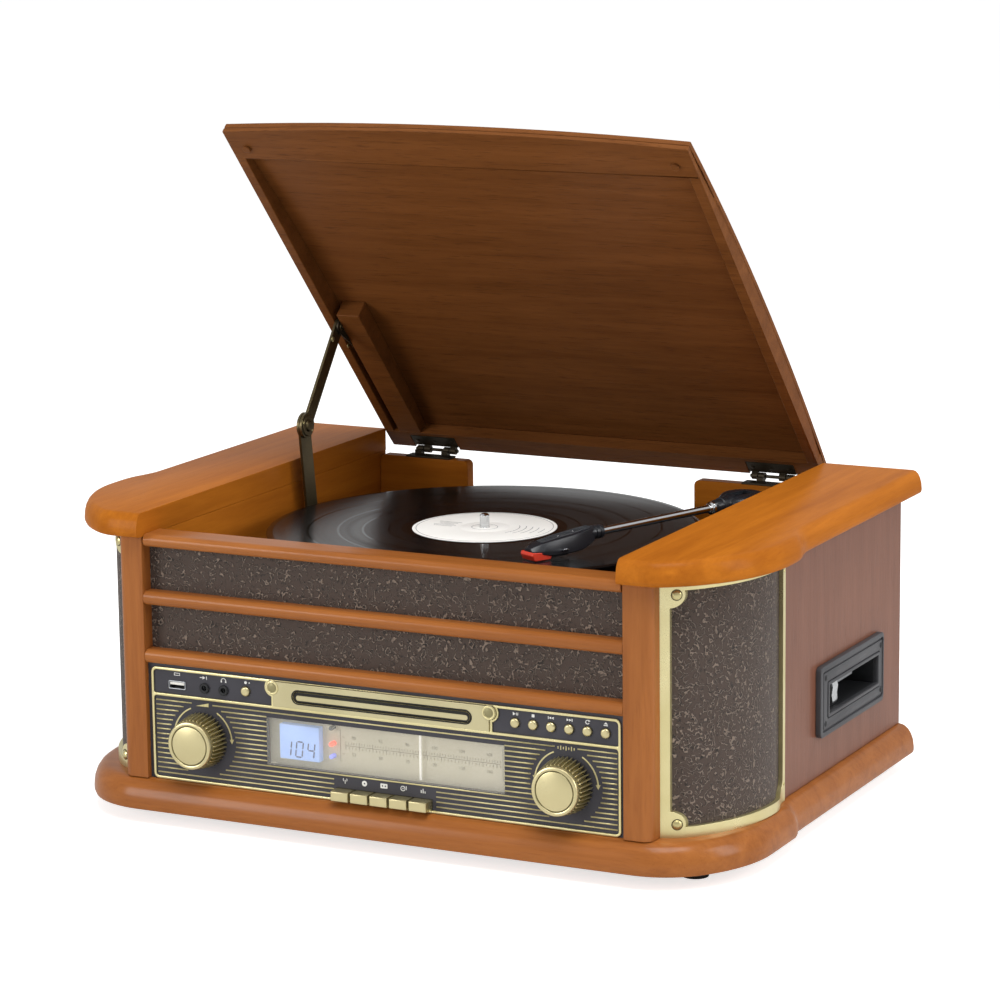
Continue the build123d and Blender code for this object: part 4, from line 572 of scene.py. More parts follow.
# A row of bars along one line; every so many is longer.
def rulerTree():
    tree = bpy.data.node_groups.new("ruler of ticks", "GeometryNodeTree")
    for label, kind in (("Empty", "Geometry"), ("Tick", "Object"), ("Count", "Int"), ("Start", "Vector"),
                        ("Step", "Vector"), ("Long Every", "Int"), ("Long Size", "Float"),
                        ("Finish", "Material")):
        tree.interface.new_socket(label, in_out="INPUT", socket_type="NodeSocket" + kind)
    tree.interface.new_socket("Geometry", in_out="OUTPUT", socket_type="NodeSocketGeometry")
    entry = tree.nodes.new("NodeGroupInput")
    leave = tree.nodes.new("NodeGroupOutput")
    line = tree.nodes.new("GeometryNodeMeshLine")
    source = tree.nodes.new("GeometryNodeObjectInfo")
    spread = tree.nodes.new("GeometryNodeInstanceOnPoints")
    index = tree.nodes.new("GeometryNodeInputIndex")
    rest = tree.nodes.new("ShaderNodeMath")
    rest.operation = "MODULO"
    isLong = tree.nodes.new("ShaderNodeMath")
    isLong.operation = "LESS_THAN"
    isLong.inputs[1].default_value = 0.5
    grow = tree.nodes.new("ShaderNodeMath")
    grow.operation = "MULTIPLY_ADD"
    grow.inputs[2].default_value = 1.0
    size = tree.nodes.new("ShaderNodeCombineXYZ")
    size.inputs[0].default_value = 1.0
    size.inputs[1].default_value = 1.0
    solid = tree.nodes.new("GeometryNodeRealizeInstances")
    paint = tree.nodes.new("GeometryNodeSetMaterial")
    link = tree.links.new
    link(entry.outputs["Count"], line.inputs["Count"])
    link(entry.outputs["Start"], line.inputs["Start Location"])
    link(entry.outputs["Step"], line.inputs["Offset"])
    link(line.outputs["Mesh"], spread.inputs["Points"])
    link(entry.outputs["Tick"], source.inputs["Object"])
    link(source.outputs["Geometry"], spread.inputs["Instance"])
    link(index.outputs[0], rest.inputs[0])
    link(entry.outputs["Long Every"], rest.inputs[1])
    link(rest.outputs[0], isLong.inputs[0])
    link(isLong.outputs[0], grow.inputs[0])
    link(entry.outputs["Long Size"], grow.inputs[1])
    link(grow.outputs[0], size.inputs[2])
    link(size.outputs[0], spread.inputs["Scale"])
    link(spread.outputs["Instances"], solid.inputs["Geometry"])
    link(solid.outputs["Geometry"], paint.inputs["Geometry"])
    link(entry.outputs["Finish"], paint.inputs["Material"])
    link(paint.outputs["Geometry"], leave.inputs["Geometry"])
    return tree


placing = placingTree()
ruler = rulerTree()
used = []       # small source parts, taken away at the end


def runTree(name, start, tree, values, look, body, replaced=()):
    holder = bpy.data.objects.new(name + "_holder", start)
    bpy.context.scene.collection.objects.link(holder)
    step = holder.modifiers.new("repeat", "NODES")
    step.node_group = tree
    for item in tree.interface.items_tree:
        if item.in_out == "INPUT" and item.name in values:
            step[item.identifier] = values[item.name]
    result = bpy.data.meshes.new_from_object(holder.evaluated_get(bpy.context.evaluated_depsgraph_get()))
    holder.modifiers.clear()
    bpy.data.objects.remove(holder)
    result.name = name
    return finishPiece(name, result, look, body, replaced)


def smallPart(name, bm):
    part = bpy.data.objects.new(name, meshFrom(bm, name))
    bpy.context.scene.collection.objects.link(part)
    used.append(part)
    return part


def repeated(name, part, places, look, body, replaced=()):
    # places: (point, turn in degrees, size) for each copy
    start = bpy.data.meshes.new(name + "_points")
    start.from_pydata([tuple(point) for point, turn, size in places], [], [])
    turns = start.attributes.new("turn", "FLOAT_VECTOR", "POINT")
    sizes = start.attributes.new("size", "FLOAT_VECTOR", "POINT")
    for i, (point, turn, size) in enumerate(places):
        turns.data[i].vector = [math.radians(a) for a in turn]
        sizes.data[i].vector = size
    return runTree(name, start, placing, {"Part": part, "Finish": look}, look, body, replaced)


def carve(part, cutter):
    # takes the cutter's shape out of the part
    cut = part.modifiers.new("cut", "BOOLEAN")
    cut.object = cutter
    cut.solver = "EXACT"
    part.data = bpy.data.meshes.new_from_object(part.evaluated_get(bpy.context.evaluated_depsgraph_get()))
    part.modifiers.clear()
    used.remove(cutter)
    bpy.data.objects.remove(cutter)


def screwPart(name, radius, height, cross=0.0):
    # a domed head that faces -Y, with a cross recess where cross gives its half length
    bm = bmesh.new()
    dome = [(-height * mm * math.cos(a), radius * mm * math.sin(a)) for a in (0.45, 0.8, 1.15)]
    addTurned(bm, [(0.0, 0), (0.0, radius * mm), (-height * 0.3 * mm, radius * mm), *reversed(dome),
                   (-height * mm, 0)], (0, 0, 0), (0, 1, 0), 24)
    bmesh.ops.recalc_face_normals(bm, faces=bm.faces)
    head = smallPart(name, bm)
    if cross:
        bm = bmesh.new()
        wide = 0.2 * radius * mm
        for x, z in ((cross * mm, wide), (wide, cross * mm)):
            addBox(bm, (-x, -height * 1.3 * mm, -z), (x, -height * 0.45 * mm, z))
        bmesh.ops.recalc_face_normals(bm, faces=bm.faces)
        carve(head, smallPart(name + "_cutter", bm))
    return head


def unitBar(name, wide, deep, tall):
    bm = bmesh.new()
    addBox(bm, (-wide * mm / 2, -deep * mm, -tall * mm / 2), (wide * mm / 2, 0, tall * mm / 2))
    return smallPart(name, bm)


# ---- the frame's own nodes: rounded copies and finishes ----
woodPieces = {
    "base_plinth": ("amber", "x", 0.0), "side_panels": ("russet", "z", 0.5), "inner_walls": ("honey", "y", 0.6),
    "front_pillars": ("amber", "z", 0.6), "top_boards": ("honey", "y", 0.0), "front_rails": ("amber", "x", 0.4),
    # the lid panel and lid frame take the darkened lid tone, painted shade for the open lid
    "rear_wall": ("honey", "x", 0.8), "lid_panel": ("shaded_umber", "x", 0.8), "lid_frame": ("shaded_umber", "x", 0.6),
    "baffle_boards": ("raw", "x", 0.0),
}
for node, (tone, grain, rounding) in woodPieces.items():
    softCopy(node, woods[tone, grain], rounding * mm)

paintedNodes = {
    "rubber_feet": "foot_rubber", "grille_cloths": "cloth", "back_cover": "back_fibre",
    "speaker_drivers": "plastic_grey", "trim_screws": "brass_trim", "control_panel": "panel_black",
    "cd_mechanism": "plastic_grey", "dial_window": "window", "dial_scale": "dial_card",
    "circuit_boards": "circuit_green", "front_sockets": "steel", "deck_plate": "deck_black",
    "turntable_motor": "steel", "tonearm_base": "arm_black", "cassette_deck": "well_dark",
    "rear_sockets": "steel", "cabinet_hinge_set": "bronze", "drive_belt": "belt_rubber",
    "mains_transformer": "iron", "dial_pointer": "pointer_white", "platter": "mat_rubber",
    "spindle": "chrome", "record": "vinyl", "motor_pulley": "steel", "tonearm_hub": "arm_black",
    "tonearm": "chrome", "headshell": "arm_black", "lid_hinge_set": "bronze",
    "stay_lower_arm": "bronze", "stay_upper_arm": "bronze", "cd_tray": "brass_trim",
    "speaker_frames": "brass_trim", "cd_fascia": "brass_trim", "panel_trim": "brass_trim",
    "cassette_bezel": "bezel_grey", "display_unit": "display", "volume_knob": "knob_brass",
    "tuning_knob": "knob_brass",
}
for node in frame["nodes"]:
    look = paintedNodes.get(node, "knob_brass" if "button" in node else "brass_trim")
    if node not in woodPieces:
        mesh = frame["nodes"][node].data
        mesh.materials.clear()
        mesh.materials.append(material(look))
print("stage: frame nodes")

# ---- small helpers for the front ----
def bar(x, z, wide, tall):
    return [(x - wide / 2, z - tall / 2), (x + wide / 2, z - tall / 2), (x + wide / 2, z + tall / 2),
            (x - wide / 2, z + tall / 2)]


def bend(cx, cz, radius, start, end, steps=16):
    # points on an arc, angles in degrees
    return [(cx + radius * math.cos(math.radians(start + (end - start) * i / steps)),
             cz + radius * math.sin(math.radians(start + (end - start) * i / steps))) for i in range(steps + 1)]


def ringPart(cx, cz, inner, outer, start, end):
    return bend(cx, cz, outer, start, end) + bend(cx, cz, inner, end, start)


def onFront(y):
    # drawings in millimetres of X and Z, lying on the plane at y and facing the front
    return facing(at(0, y, 0), (1, 0, 0), (0, 0, 1))


def addLoft(bm, rings):
    # joins closed rings of points, one after the other, and closes both ends
    made = [[bm.verts.new(point) for point in ring] for ring in rings]
    for first, second in zip(made, made[1:]):
        for i in range(len(first)):
            j = (i + 1) % len(first)
            bm.faces.new((first[i], first[j], second[j], second[i]))
    bm.faces.new(list(reversed(made[0])))
    bm.faces.new(made[-1])


def turnedPiece(name, profile, origin, axis, look, body, replaced=(), segments=48):
    bm = bmesh.new()
    addTurned(bm, [(d * mm, r * mm) for d, r in profile], origin, axis, segments)
    bmesh.ops.recalc_face_normals(bm, faces=bm.faces)
    return finishPiece(name, meshFrom(bm, name), look, body, replaced)


def boxPiece(name, low, high, rounding, look, body, replaced=()):
    # a block in millimetres with rounded edges
    bm = bmesh.new()
    addBox(bm, at(*low), at(*high))
    bmesh.ops.recalc_face_normals(bm, faces=bm.faces)
    bmesh.ops.bevel(bm, geom=list(bm.edges), offset=rounding * mm, segments=2, affect="EDGES", profile=0.5)
    return finishPiece(name, meshFrom(bm, name), look, body, replaced)


# ---- control panel: printed stripes, arcs and signs ----
panelPrint = {"first": 35.65, "pitch": 3.35, "rows": 16, "height": 0.9, "ends": 170.9, "disc": 25.7,
              "knobX": 135.0, "knobZ": 61.5, "window": (-85.5, 91.0, 49.5, 82.9),
              "keys": (-35.0, 41.0, 47.5), "face": 1.25, "proud": 0.25}


def stripeRuns(z, look):
    cuts = []
    for knobX in (-look["knobX"], look["knobX"]):
        reach = look["disc"] ** 2 - (z - look["knobZ"]) ** 2
        if reach > 0:
            cuts.append((knobX - reach ** 0.5, knobX + reach ** 0.5))
    x0, x1, z0, z1 = look["window"]
    if z0 < z < z1:
        cuts.append((x0, x1))
    x0, x1, z1 = look["keys"]
    if z < z1:
        cuts.append((x0, x1))
    runs, start = [], -look["ends"]
    for x0, x1 in sorted(cuts):
        runs.append((start, x0))
        start = x1
    return runs + [(start, look["ends"])]


stripePlaces = []
for row in range(panelPrint["rows"]):
    z = panelPrint["first"] + panelPrint["pitch"] * row
    stripePlaces += [(at((x0 + x1) / 2, panelPrint["face"], z), (0, 0, 0), (x1 - x0, 1, 1))
                     for x0, x1 in stripeRuns(z, panelPrint)]
repeated("panel_stripes", unitBar("stripe_bar", 1.0, panelPrint["proud"], panelPrint["height"]), stripePlaces,
         material("print_gold"), "cabinet")

knobSigns = {"arc": (22.0, 23.0), "left": (113, 171), "right": (60, 6), "head": 3.4, "signZ": 85.2}
goldShapes = []
for knobX in (-135.0, 135.0):
    for start, end in (knobSigns["left"], knobSigns["right"]):
        goldShapes.append(ringPart(knobX, 61.5, *knobSigns["arc"], start, end))
        turn = 1 if end > start else -1
        tip = math.radians(end + turn * 8)
        root = math.radians(end)
        goldShapes.append([(knobX + 22.5 * math.cos(tip), 61.5 + 22.5 * math.sin(tip)),
                           (knobX + 20.8 * math.cos(root), 61.5 + 20.8 * math.sin(root)),
                           (knobX + 24.2 * math.cos(root), 61.5 + 24.2 * math.sin(root))])
goldShapes.append([(-140.0, 84.4), (-130.0, 84.4), (-130.0, 87.0)])
goldShapes += [bar(135 + 1.9 * i, 85.5, 0.7, 2.8 if i % 2 == 0 else 1.6) for i in range(-3, 4)]
finishPiece("knob_signs", plate("knob_signs", goldShapes, 0.2, 0.0, onFront(1.2)), material("print_gold"),
            "cabinet")

buttonSigns = {"z": 104.4, "keyZ": 45.2}


def arrow(x, z, way, size=1.2):
    return [(x + way * size, z), (x - way * size * 0.7, z - size), (x - way * size * 0.7, z + size)]


signZ = buttonSigns["z"]
whiteShapes = [
    arrow(98.2, signZ, 1), bar(99.9, signZ, 0.5, 2.0), bar(100.9, signZ, 0.5, 2.0),
    bar(111.8, signZ, 2.0, 2.0),
    bar(122.6, signZ, 0.5, 2.0), arrow(124.0, signZ, -1, 0.9), arrow(125.8, signZ, -1, 0.9),
    bar(139.4, signZ, 0.5, 2.0), arrow(138.0, signZ, 1, 0.9), arrow(136.2, signZ, 1, 0.9),
    ringPart(150.2, signZ, 1.0, 1.5, 60, 340), arrow(151.5, signZ + 0.9, 1, 0.8),
    [(163.0, signZ + 1.3), (161.5, signZ - 0.1), (164.5, signZ - 0.1)], bar(163.0, signZ - 0.9, 3.0, 0.6),
    circle(-100.8, signZ, 1.0), circle(-98.0, signZ, 0.5, 16),
    ringPart(-117.8, signZ - 0.5, 1.4, 1.9, 0, 180), bar(-119.5, signZ - 1.0, 0.9, 1.6), bar(-116.1, signZ - 1.0, 0.9, 1.6),
    arrow(-133.2, signZ, 1), bar(-135.2, signZ, 2.0, 0.5), bar(-131.0, signZ, 0.5, 2.4),
    bar(-154.0, signZ + 0.4, 4.6, 1.9), bar(-154.0, signZ + 0.4, 3.8, 1.1),
]
keyMiddles = [2.4 + 14.5 * (i - 2) for i in range(5)]
signZ = buttonSigns["keyZ"]
whiteShapes += [
    bar(keyMiddles[0], signZ - 0.4, 0.5, 2.6), ringPart(keyMiddles[0], signZ + 0.9, 1.2, 1.6, -40, 40),
    ringPart(keyMiddles[0], signZ + 0.9, 1.2, 1.6, 140, 220),
    circle(keyMiddles[1], signZ, 1.9), circle(keyMiddles[1], signZ, 0.6),
    roundedBox(keyMiddles[2] - 2.6, keyMiddles[2] + 2.6, signZ - 1.6, signZ + 1.6, 0.5),
    circle(keyMiddles[2] - 1.1, signZ, 0.6, 16), circle(keyMiddles[2] + 1.1, signZ, 0.6, 16),
    circle(keyMiddles[3] - 0.4, signZ, 1.8), circle(keyMiddles[3] - 0.4, signZ, 1.3),
    circle(keyMiddles[3] - 0.4, signZ, 0.4, 16), bar(keyMiddles[3] + 2.1, signZ + 0.5, 0.5, 2.6),
    bar(keyMiddles[4] - 1.4, signZ - 0.5, 0.6, 2.0), bar(keyMiddles[4], signZ, 0.6, 3.0),
    bar(keyMiddles[4] + 1.4, signZ - 0.8, 0.6, 1.4),
]
finishPiece("button_signs", plate("button_signs", whiteShapes, 0.2, 0.0, onFront(1.2)), material("print_white"),
            "cabinet")

# ---- the panel's brass frame, with a rim round each fascia ear ----
trim = {"half": 173.8, "low": 31.2, "high": 108.8, "corner": 4.0, "bar": 1.8, "divider": 89.0, "thick": 1.2,
        "rounding": 0.4, "fascia": (-79.0, 81.0, 91.0, 108.0), "ears": ((-79.4, 103.5), (81.0, 103.5)),
        "ear": 5.05, "earRim": 1.4}


def bayOutline(side, look):
    # the hole beside the fascia: three plain corners and one that follows the ear's rim
    ear = look["ears"][0 if side < 0 else 1]
    edge = abs(look["fascia"][0 if side < 0 else 1]) + look["bar"]
    reach = look["ear"] + look["earRim"]
    low, high = look["divider"] + look["bar"], look["high"] - look["bar"]
    outer = look["half"] - look["bar"]
    cx, cz = abs(ear[0]), ear[1]
    startAngle = -math.degrees(math.acos((edge - cx) / reach))
    endAngle = math.degrees(math.asin((high - cz) / reach))
    points = [(edge, low)] + bend(cx, cz, reach, startAngle, endAngle, 14)
    points += bend(outer - 2.5, high - 2.5, 2.5, 90, 0, 5) + bend(outer - 1.2, low + 1.2, 1.2, 0, -90, 4)
    return [(side * x, z) for x, z in points]


def fasciaHole(look):
    x0, x1, z0, z1 = look["fascia"]
    (leftX, earZ), (rightX, _) = look["ears"]
    reach = look["ear"]
    high = min(z1, look["high"] - 0.7)
    top = math.degrees(math.asin(min((high - earZ) / reach, 1.0)))
    leftLow = math.degrees(math.acos((x0 - leftX) / reach))
    rightLow = math.degrees(math.acos((x1 - rightX) / reach))
    return ([(x0, z0), (x1, z0)] + bend(rightX, earZ, reach, -rightLow, top, 12)
            + bend(leftX, earZ, reach, 180 - top, 360 - leftLow, 12))


lowerBay = roundedBox(-trim["half"] + trim["bar"], trim["half"] - trim["bar"], trim["low"] + trim["bar"],
                      trim["divider"], 2.2)
trimShapes = [roundedBox(-trim["half"], trim["half"], trim["low"], trim["high"], trim["corner"]), lowerBay,
              bayOutline(-1, trim), bayOutline(1, trim), fasciaHole(trim)]
finishPiece("panel_frame", plate("panel_frame", trimShapes, trim["thick"], trim["rounding"],
            onFront(trim["thick"])), material("brass_trim"), "cabinet", ["panel_trim"])
softCopy("cd_fascia", material("fascia_gold"), 0.35 * mm, 2, 50)
softCopy("cd_tray", material("fascia_gold"), 0.3 * mm, 2, 50)
for i in range(1, 6):
    softCopy(f"selector_key_{i}", material("knob_brass"))

# ---- screws of the frames and the fascia ----
screwPlaces = []
for side in (-1, 1):
    for z in (39.8, 189.2):
        screwPlaces.append((at(side * 205.9, 15.2, z), (0, 0, side * 31.2), (1, 1, 1)))
frameScrew = screwPart("frame_screw", 3.1, 1.7, 2.0)
repeated("grille_screws", frameScrew, screwPlaces, material("screw_gold"), "cabinet", ["trim_screws"])
# dark discs round the grille screws and dark crosses inside their cross recesses: painted shade in the screw recesses
bm = bmesh.new()
for wide, tall in ((1.95, 0.58), (0.58, 1.95)):
    addBox(bm, (-wide * mm, -1.0 * mm, -tall * mm), (wide * mm, -0.3 * mm, tall * mm))
addTurned(bm, [(-0.3 * mm, 0), (-0.3 * mm, 3.7 * mm), (0.5 * mm, 3.7 * mm), (0.5 * mm, 0)], (0, 0, 0), (0, 1, 0), 32)
bmesh.ops.recalc_face_normals(bm, faces=bm.faces)
repeated("grille_screw_seats", smallPart("screw_seat", bm), screwPlaces, material("recess_shade_dark"), "cabinet")
fasciaScrew = screwPart("fascia_screw", 3.0, 0.5)
repeated("fascia_screws", fasciaScrew, [(at(x, -0.95, 103.5), (0, 0, 0), (1, 1, 1)) for x in (-79.4, 81.0)],
         material("ear_olive"), "cabinet")
earRings = [shape for x in (-79.4, 81.0) for shape in (circle(x, 103.5, 4.6), circle(x, 103.5, 3.5))]
finishPiece("fascia_rings", plate("fascia_rings", earRings, 0.7, 0.2, onFront(-0.8)), material("brass_trim"),
            "cabinet")
# a black ring round the CD slot and another round the edge of the tray's face, wider at the top: painted shadow of the
# gap round the tray
slotShadowRing = [roundedBox(-64.9, 68.9, 94.0, 104.0, 5.0), roundedBox(-64.0, 68.0, 94.9, 103.1, 4.1)]
finishPiece("slot_seam", plate("slot_seam", slotShadowRing, 0.15, 0.0, onFront(-0.95)), material("gap_shadow_black"),
            "cabinet")
drawerShadowRing = [roundedBox(-63.2, 67.2, 95.7, 102.3, 3.3), roundedBox(-61.6, 65.6, 96.7, 100.2, 1.7)]
finishPiece("drawer_seam", plate("drawer_seam", drawerShadowRing, 0.15, 0.0, onFront(-0.55)), material("gap_shadow_black"),
            "tray")
softCopy("speaker_frames", material("brass_trim"), 0.0)
rivet = screwPart("frame_rivet", 1.3, 0.7)
repeated("frame_rivets", rivet, [(at(side * 235.4, 121.0, z), (0, 0, side * 90), (1, 1, 1))
                                 for side in (-1, 1) for z in (43.0, 186.0)],
         material("screw_gold"), "cabinet")
print("stage: panel and frames")

# ---- knobs: dished face with a ring groove and painted shade in it, and saw-tooth ribs round the rear ----
knobLook = {"front": -17.5, "back": 0.6, "capRadius": 16.4, "ring": 13.2, "ribsFrom": 4.9, "ribs": 38, "core": 15.4,
            "crest": (16.7, 18.9), "base": 0.95, "tip": 0.3}


def makeKnob(name, x, body):
    look = knobLook
    length = look["back"] - look["front"]
    cap, ring, start = look["capRadius"], look["ring"], look["ribsFrom"]
    profile = [(0.2, 0), (0.25, ring - 0.7), (0.4, ring - 0.3), (0.95, ring - 0.15), (0.95, ring + 0.35),
               (0.3, ring + 0.55), (0.0, ring + 1.1), (0.0, ring + 1.9), (0.35, cap - 0.45), (1.1, cap),
               (start - 0.9, cap), (start - 0.35, cap - 0.3), (start, look["core"]), (length, look["core"]), (length, 0)]
    turnedPiece(name + "_body", profile, at(x, look["front"], 61.5), (0, 1, 0), material("knob_brass"), body,
                [name], 96)
    # a dark ring at the floor of the ring groove: painted shade in the groove
    line = plate(name + "_line", [circle(x, 61.5, ring + 0.3, 64), circle(x, 61.5, ring - 0.05, 64)], 0.1, 0.0,
                 onFront(look["front"] + 0.9))
    finishPiece(name + "_line", line, material("recess_shade_dark"), body)
    base, tip = look["base"] * mm, look["tip"] * mm
    bm = bmesh.new()
    rings = []
    for y, crest in ((start - 0.2, look["crest"][0]), (start + 1.2, look["crest"][0] + 0.7), (length, look["crest"][1])):
        rings.append([Vector(((look["core"] - 0.3) * mm, y * mm, -base)), Vector(((look["core"] - 0.3) * mm, y * mm, base)),
                      Vector((crest * mm, y * mm, base * 0.6)), Vector((crest * mm, y * mm, base * 0.6 - 2 * tip))])
    addLoft(bm, rings)
    bmesh.ops.recalc_face_normals(bm, faces=bm.faces)
    tooth = smallPart(name + "_tooth", bm)
    places = [(at(x, look["front"], 61.5), (0, 360 / look["ribs"] * i, 0), (1, 1, 1)) for i in range(look["ribs"])]
    repeated(name + "_ribs", tooth, places, material("knob_brass"), body)


makeKnob("volume_knob", -135.0, "volume")
makeKnob("tuning_knob", 135.0, "tuning")

# ---- sockets ----
socketLook = {"z": 97.3, "data": (-154.0, 13.1, 5.7, 0.55), "jacks": (-132.6, -117.8)}
x, wide, tall, wall = socketLook["data"]
z = socketLook["z"]
shellShapes = [roundedBox(x - wide / 2, x + wide / 2, z - tall / 2, z + tall / 2, 0.7),
               roundedBox(x - wide / 2 + wall, x + wide / 2 - wall, z - tall / 2 + wall, z + tall / 2 - wall, 0.4)]
finishPiece("data_shell", plate("data_shell", shellShapes, 13.8, 0.12, onFront(14.4)), material("steel"),
            "cabinet", ["front_sockets"])
boxPiece("data_floor", (x - 6.1, 12.9, z - 2.4), (x + 6.1, 14.4, z + 2.4), 0.2, material("well_dark"), "cabinet")
boxPiece("data_tongue", (x - 5.4, 0.8, z + 0.1), (x + 5.4, 13.0, z + 2.0), 0.2, material("socket_white"), "cabinet")
for i, x in enumerate(socketLook["jacks"]):
    turnedPiece(f"jack_{i + 1}", [(0.4, 1.8), (0.0, 2.1), (0.0, 2.9), (0.35, 3.1), (0.35, 3.2), (0.1, 3.3), (0.2, 3.5),
                                  (0.5, 3.6), (1.4, 3.6), (1.4, 3.0), (6.0, 3.0), (6.0, 1.8), (0.4, 1.8)],
                at(x, -0.2, z), (0, 1, 0), material("well_dark"), "cabinet", (), 32)
    turnedPiece(f"jack_spring_{i + 1}", [(3.0, 1.75), (12.5, 1.75), (12.5, 0.4), (12.7, 0.4), (12.7, 1.95), (3.0, 1.95),
                                         (3.0, 1.75)], at(x, -0.2, z), (0, 1, 0), material("chrome_dull"), "cabinet",
                (), 24)
    boxPiece(f"jack_case_{i + 1}", (x - 5, 5.6, z - 5), (x + 5, 14.4, z + 5), 0.5, material("well_dark"), "cabinet")

# ---- dial card, display and lamps ----
dialLook = {"cardY": 9.2, "lineZ": 67.0, "from": -30.0, "to": 84.0, "numberSize": 3.1,
            "upper": ("88", "92", "96", "100", "104", "108"), "lower": ("53", "60", "70", "90", "120", "160"),
            "proud": 0.12}
cardY = dialLook["cardY"]


def number(text, x, z, size):
    letters = bpy.data.curves.new("number", "FONT")
    letters.body = text
    letters.size = size * mm
    letters.align_x = "CENTER"
    letters.align_y = "CENTER"
    letters.extrude = dialLook["proud"] * mm / 2
    letters.resolution_u = 3
    holder = bpy.data.objects.new("number", letters)
    bpy.context.scene.collection.objects.link(holder)
    mesh = bpy.data.meshes.new_from_object(holder.evaluated_get(bpy.context.evaluated_depsgraph_get()))
    bpy.data.objects.remove(holder)
    mesh.transform(facing(at(x, cardY - 0.05, z), (1, 0, 0), (0, 0, 1)))
    return mesh


span = dialLook["to"] - dialLook["from"]
numbers = []
for texts, z in ((dialLook["upper"], 72.6), (dialLook["lower"], 61.2)):
    numbers += [number(text, dialLook["from"] + 6 + (span - 14) * i / 5, z, dialLook["numberSize"])
                for i, text in enumerate(texts)]
finishPiece("dial_numbers", joinMeshes("dial_numbers", numbers), material("print_grey"), "cabinet")
lines = [bar((dialLook["from"] + dialLook["to"]) / 2, dialLook["lineZ"], span, 0.35),
         bar(-34.0, 66.5, 0.35, 22.0), bar(-31.8, 72.6, 1.6, 0.4), bar(-31.8, 61.2, 1.6, 0.4),
         bar(85.8, 66.5, 0.3, 22.0)]
finishPiece("dial_lines", plate("dial_lines", lines, dialLook["proud"], 0.0, onFront(cardY)), material("print_grey"),
            "cabinet")
tick = unitBar("dial_tick", 0.3, dialLook["proud"], 1.5)
for name, z, count, every in (("upper_ticks", 68.6, 58, 5), ("lower_ticks", 65.4, 46, 4)):
    runTree(name, bpy.data.meshes.new(name + "_start"), ruler,
            {"Tick": tick, "Count": count, "Start": at(dialLook["from"], cardY, z),
             "Step": Vector((span / (count - 1) * mm, 0, 0)), "Long Every": every, "Long Size": 0.7,
             "Finish": material("print_grey")}, material("print_grey"), "cabinet")

boxPiece("display_glass", (-77.1, 3.6, 54.8), (-47.1, 9.2, 78.4), 0.4, material("display"), "cabinet",
         ["display_unit"])
for name, z, look in (("lamp_upper", 78.8, "lamp_off"), ("lamp_middle", 67.8, "lamp_red"),
                      ("lamp_lower", 59.4, "lamp_blue")):
    turnedPiece(name, [(0.0, 0), (0.15, 0.8), (0.6, 1.4), (1.4, 1.6), (5.4, 1.6), (5.4, 0)], at(-38.8, 3.8, z),
                (0, 1, 0), material(look), "cabinet", (), 24)

digitLook = {"x": (-70.9, -62.1, -53.3), "z": 62.2, "wide": 4.9, "tall": 10.4, "bar": 0.95, "lean": 0.12,
             "digits": "104"}
segmentsOf = {"0": "abcdef", "1": "bc", "2": "abged", "3": "abgcd", "4": "fgbc", "5": "afgcd"}
bm = bmesh.new()
bend6 = [(-0.5, 0), (-0.42, 0.5), (0.42, 0.5), (0.5, 0), (0.42, -0.5), (-0.42, -0.5)]
addLoft(bm, [[Vector((x * mm, -0.12 * mm, z * mm)) for x, z in bend6], [Vector((x * mm, 0.05 * mm, z * mm)) for x, z in bend6]])
bmesh.ops.recalc_face_normals(bm, faces=bm.faces)
segment = smallPart("segment", bm)
half, quarter = digitLook["tall"] / 2, digitLook["tall"] / 4
sides = {"a": (0, half, 0), "g": (0, 0, 0), "d": (0, -half, 0), "b": (0.5, quarter, 1), "c": (0.5, -quarter, 1),
         "f": (-0.5, quarter, 1), "e": (-0.5, -quarter, 1)}
segmentPlaces = []
for middle, digit in zip(digitLook["x"], digitLook["digits"]):
    for key in segmentsOf[digit]:
        shift, rise, upright = sides[key]
        point = at(middle + shift * digitLook["wide"] + rise * digitLook["lean"], 3.6, digitLook["z"] + rise)
        turn = 90 - math.degrees(math.atan(digitLook["lean"])) if upright else 0
        long = half - 0.5 if upright else digitLook["wide"] - 0.7
        segmentPlaces.append((point, (0, -turn, 0), (long, 1, digitLook["bar"])))
repeated("display_digits", segment, segmentPlaces, material("segment_ink"), "cabinet")
print("stage: dial and display")

# ---- record and its label ----
recordLook = {"x": -7.0, "y": 170.0, "under": 183.4, "top": 185.3, "edge": 150.4, "hole": 3.65, "label": 50.0}
recordProfile = [(0.0, recordLook["hole"]), (1.9, recordLook["hole"]), (1.9, 49.4), (1.75, 50.6), (1.75, 56.5),
                 (1.85, 58.0), (1.85, 145.0), (1.95, 147.0), (1.9, 149.2), (1.55, 150.2), (0.95, 150.4),
                 (0.35, 150.2), (0.0, 149.4), (0.0, recordLook["hole"])]
discFoot = at(recordLook["x"], recordLook["y"], recordLook["under"])
turnedPiece("record_disc", recordProfile, discFoot, (0, 0, 1), material("vinyl"), "turntable", ["record"], 180)
turnedPiece("record_label", [(1.8, 3.68), (2.12, 3.68), (2.12, 17.0), (2.06, 17.2), (2.06, 17.8), (2.12, 18.0),
                             (2.12, 49.6), (2.05, 50.0), (1.8, 50.0), (1.8, 3.68)], discFoot, (0, 0, 1),
            material("label_paper"), "turntable", (), 120)
labelTop = facing(discFoot + Vector((0, 0, 2.12 * mm)), (1, 0, 0), (0, 1, 0))
labelShapes = [circle(0, 0, 47.6, 96), circle(0, 0, 47.2, 96), circle(0, 0, 9.2, 48), circle(0, 0, 8.8, 48)]
labelShapes += [bar(-29, 6 - 3.2 * i, 17 - 3 * (i % 3), 0.7) for i in range(5)]
labelShapes += [ringPart(0, 0, 24.0 + 4.5 * i, 24.5 + 4.5 * i, -28 + 6 * i, 34 - 5 * i) for i in range(5)]
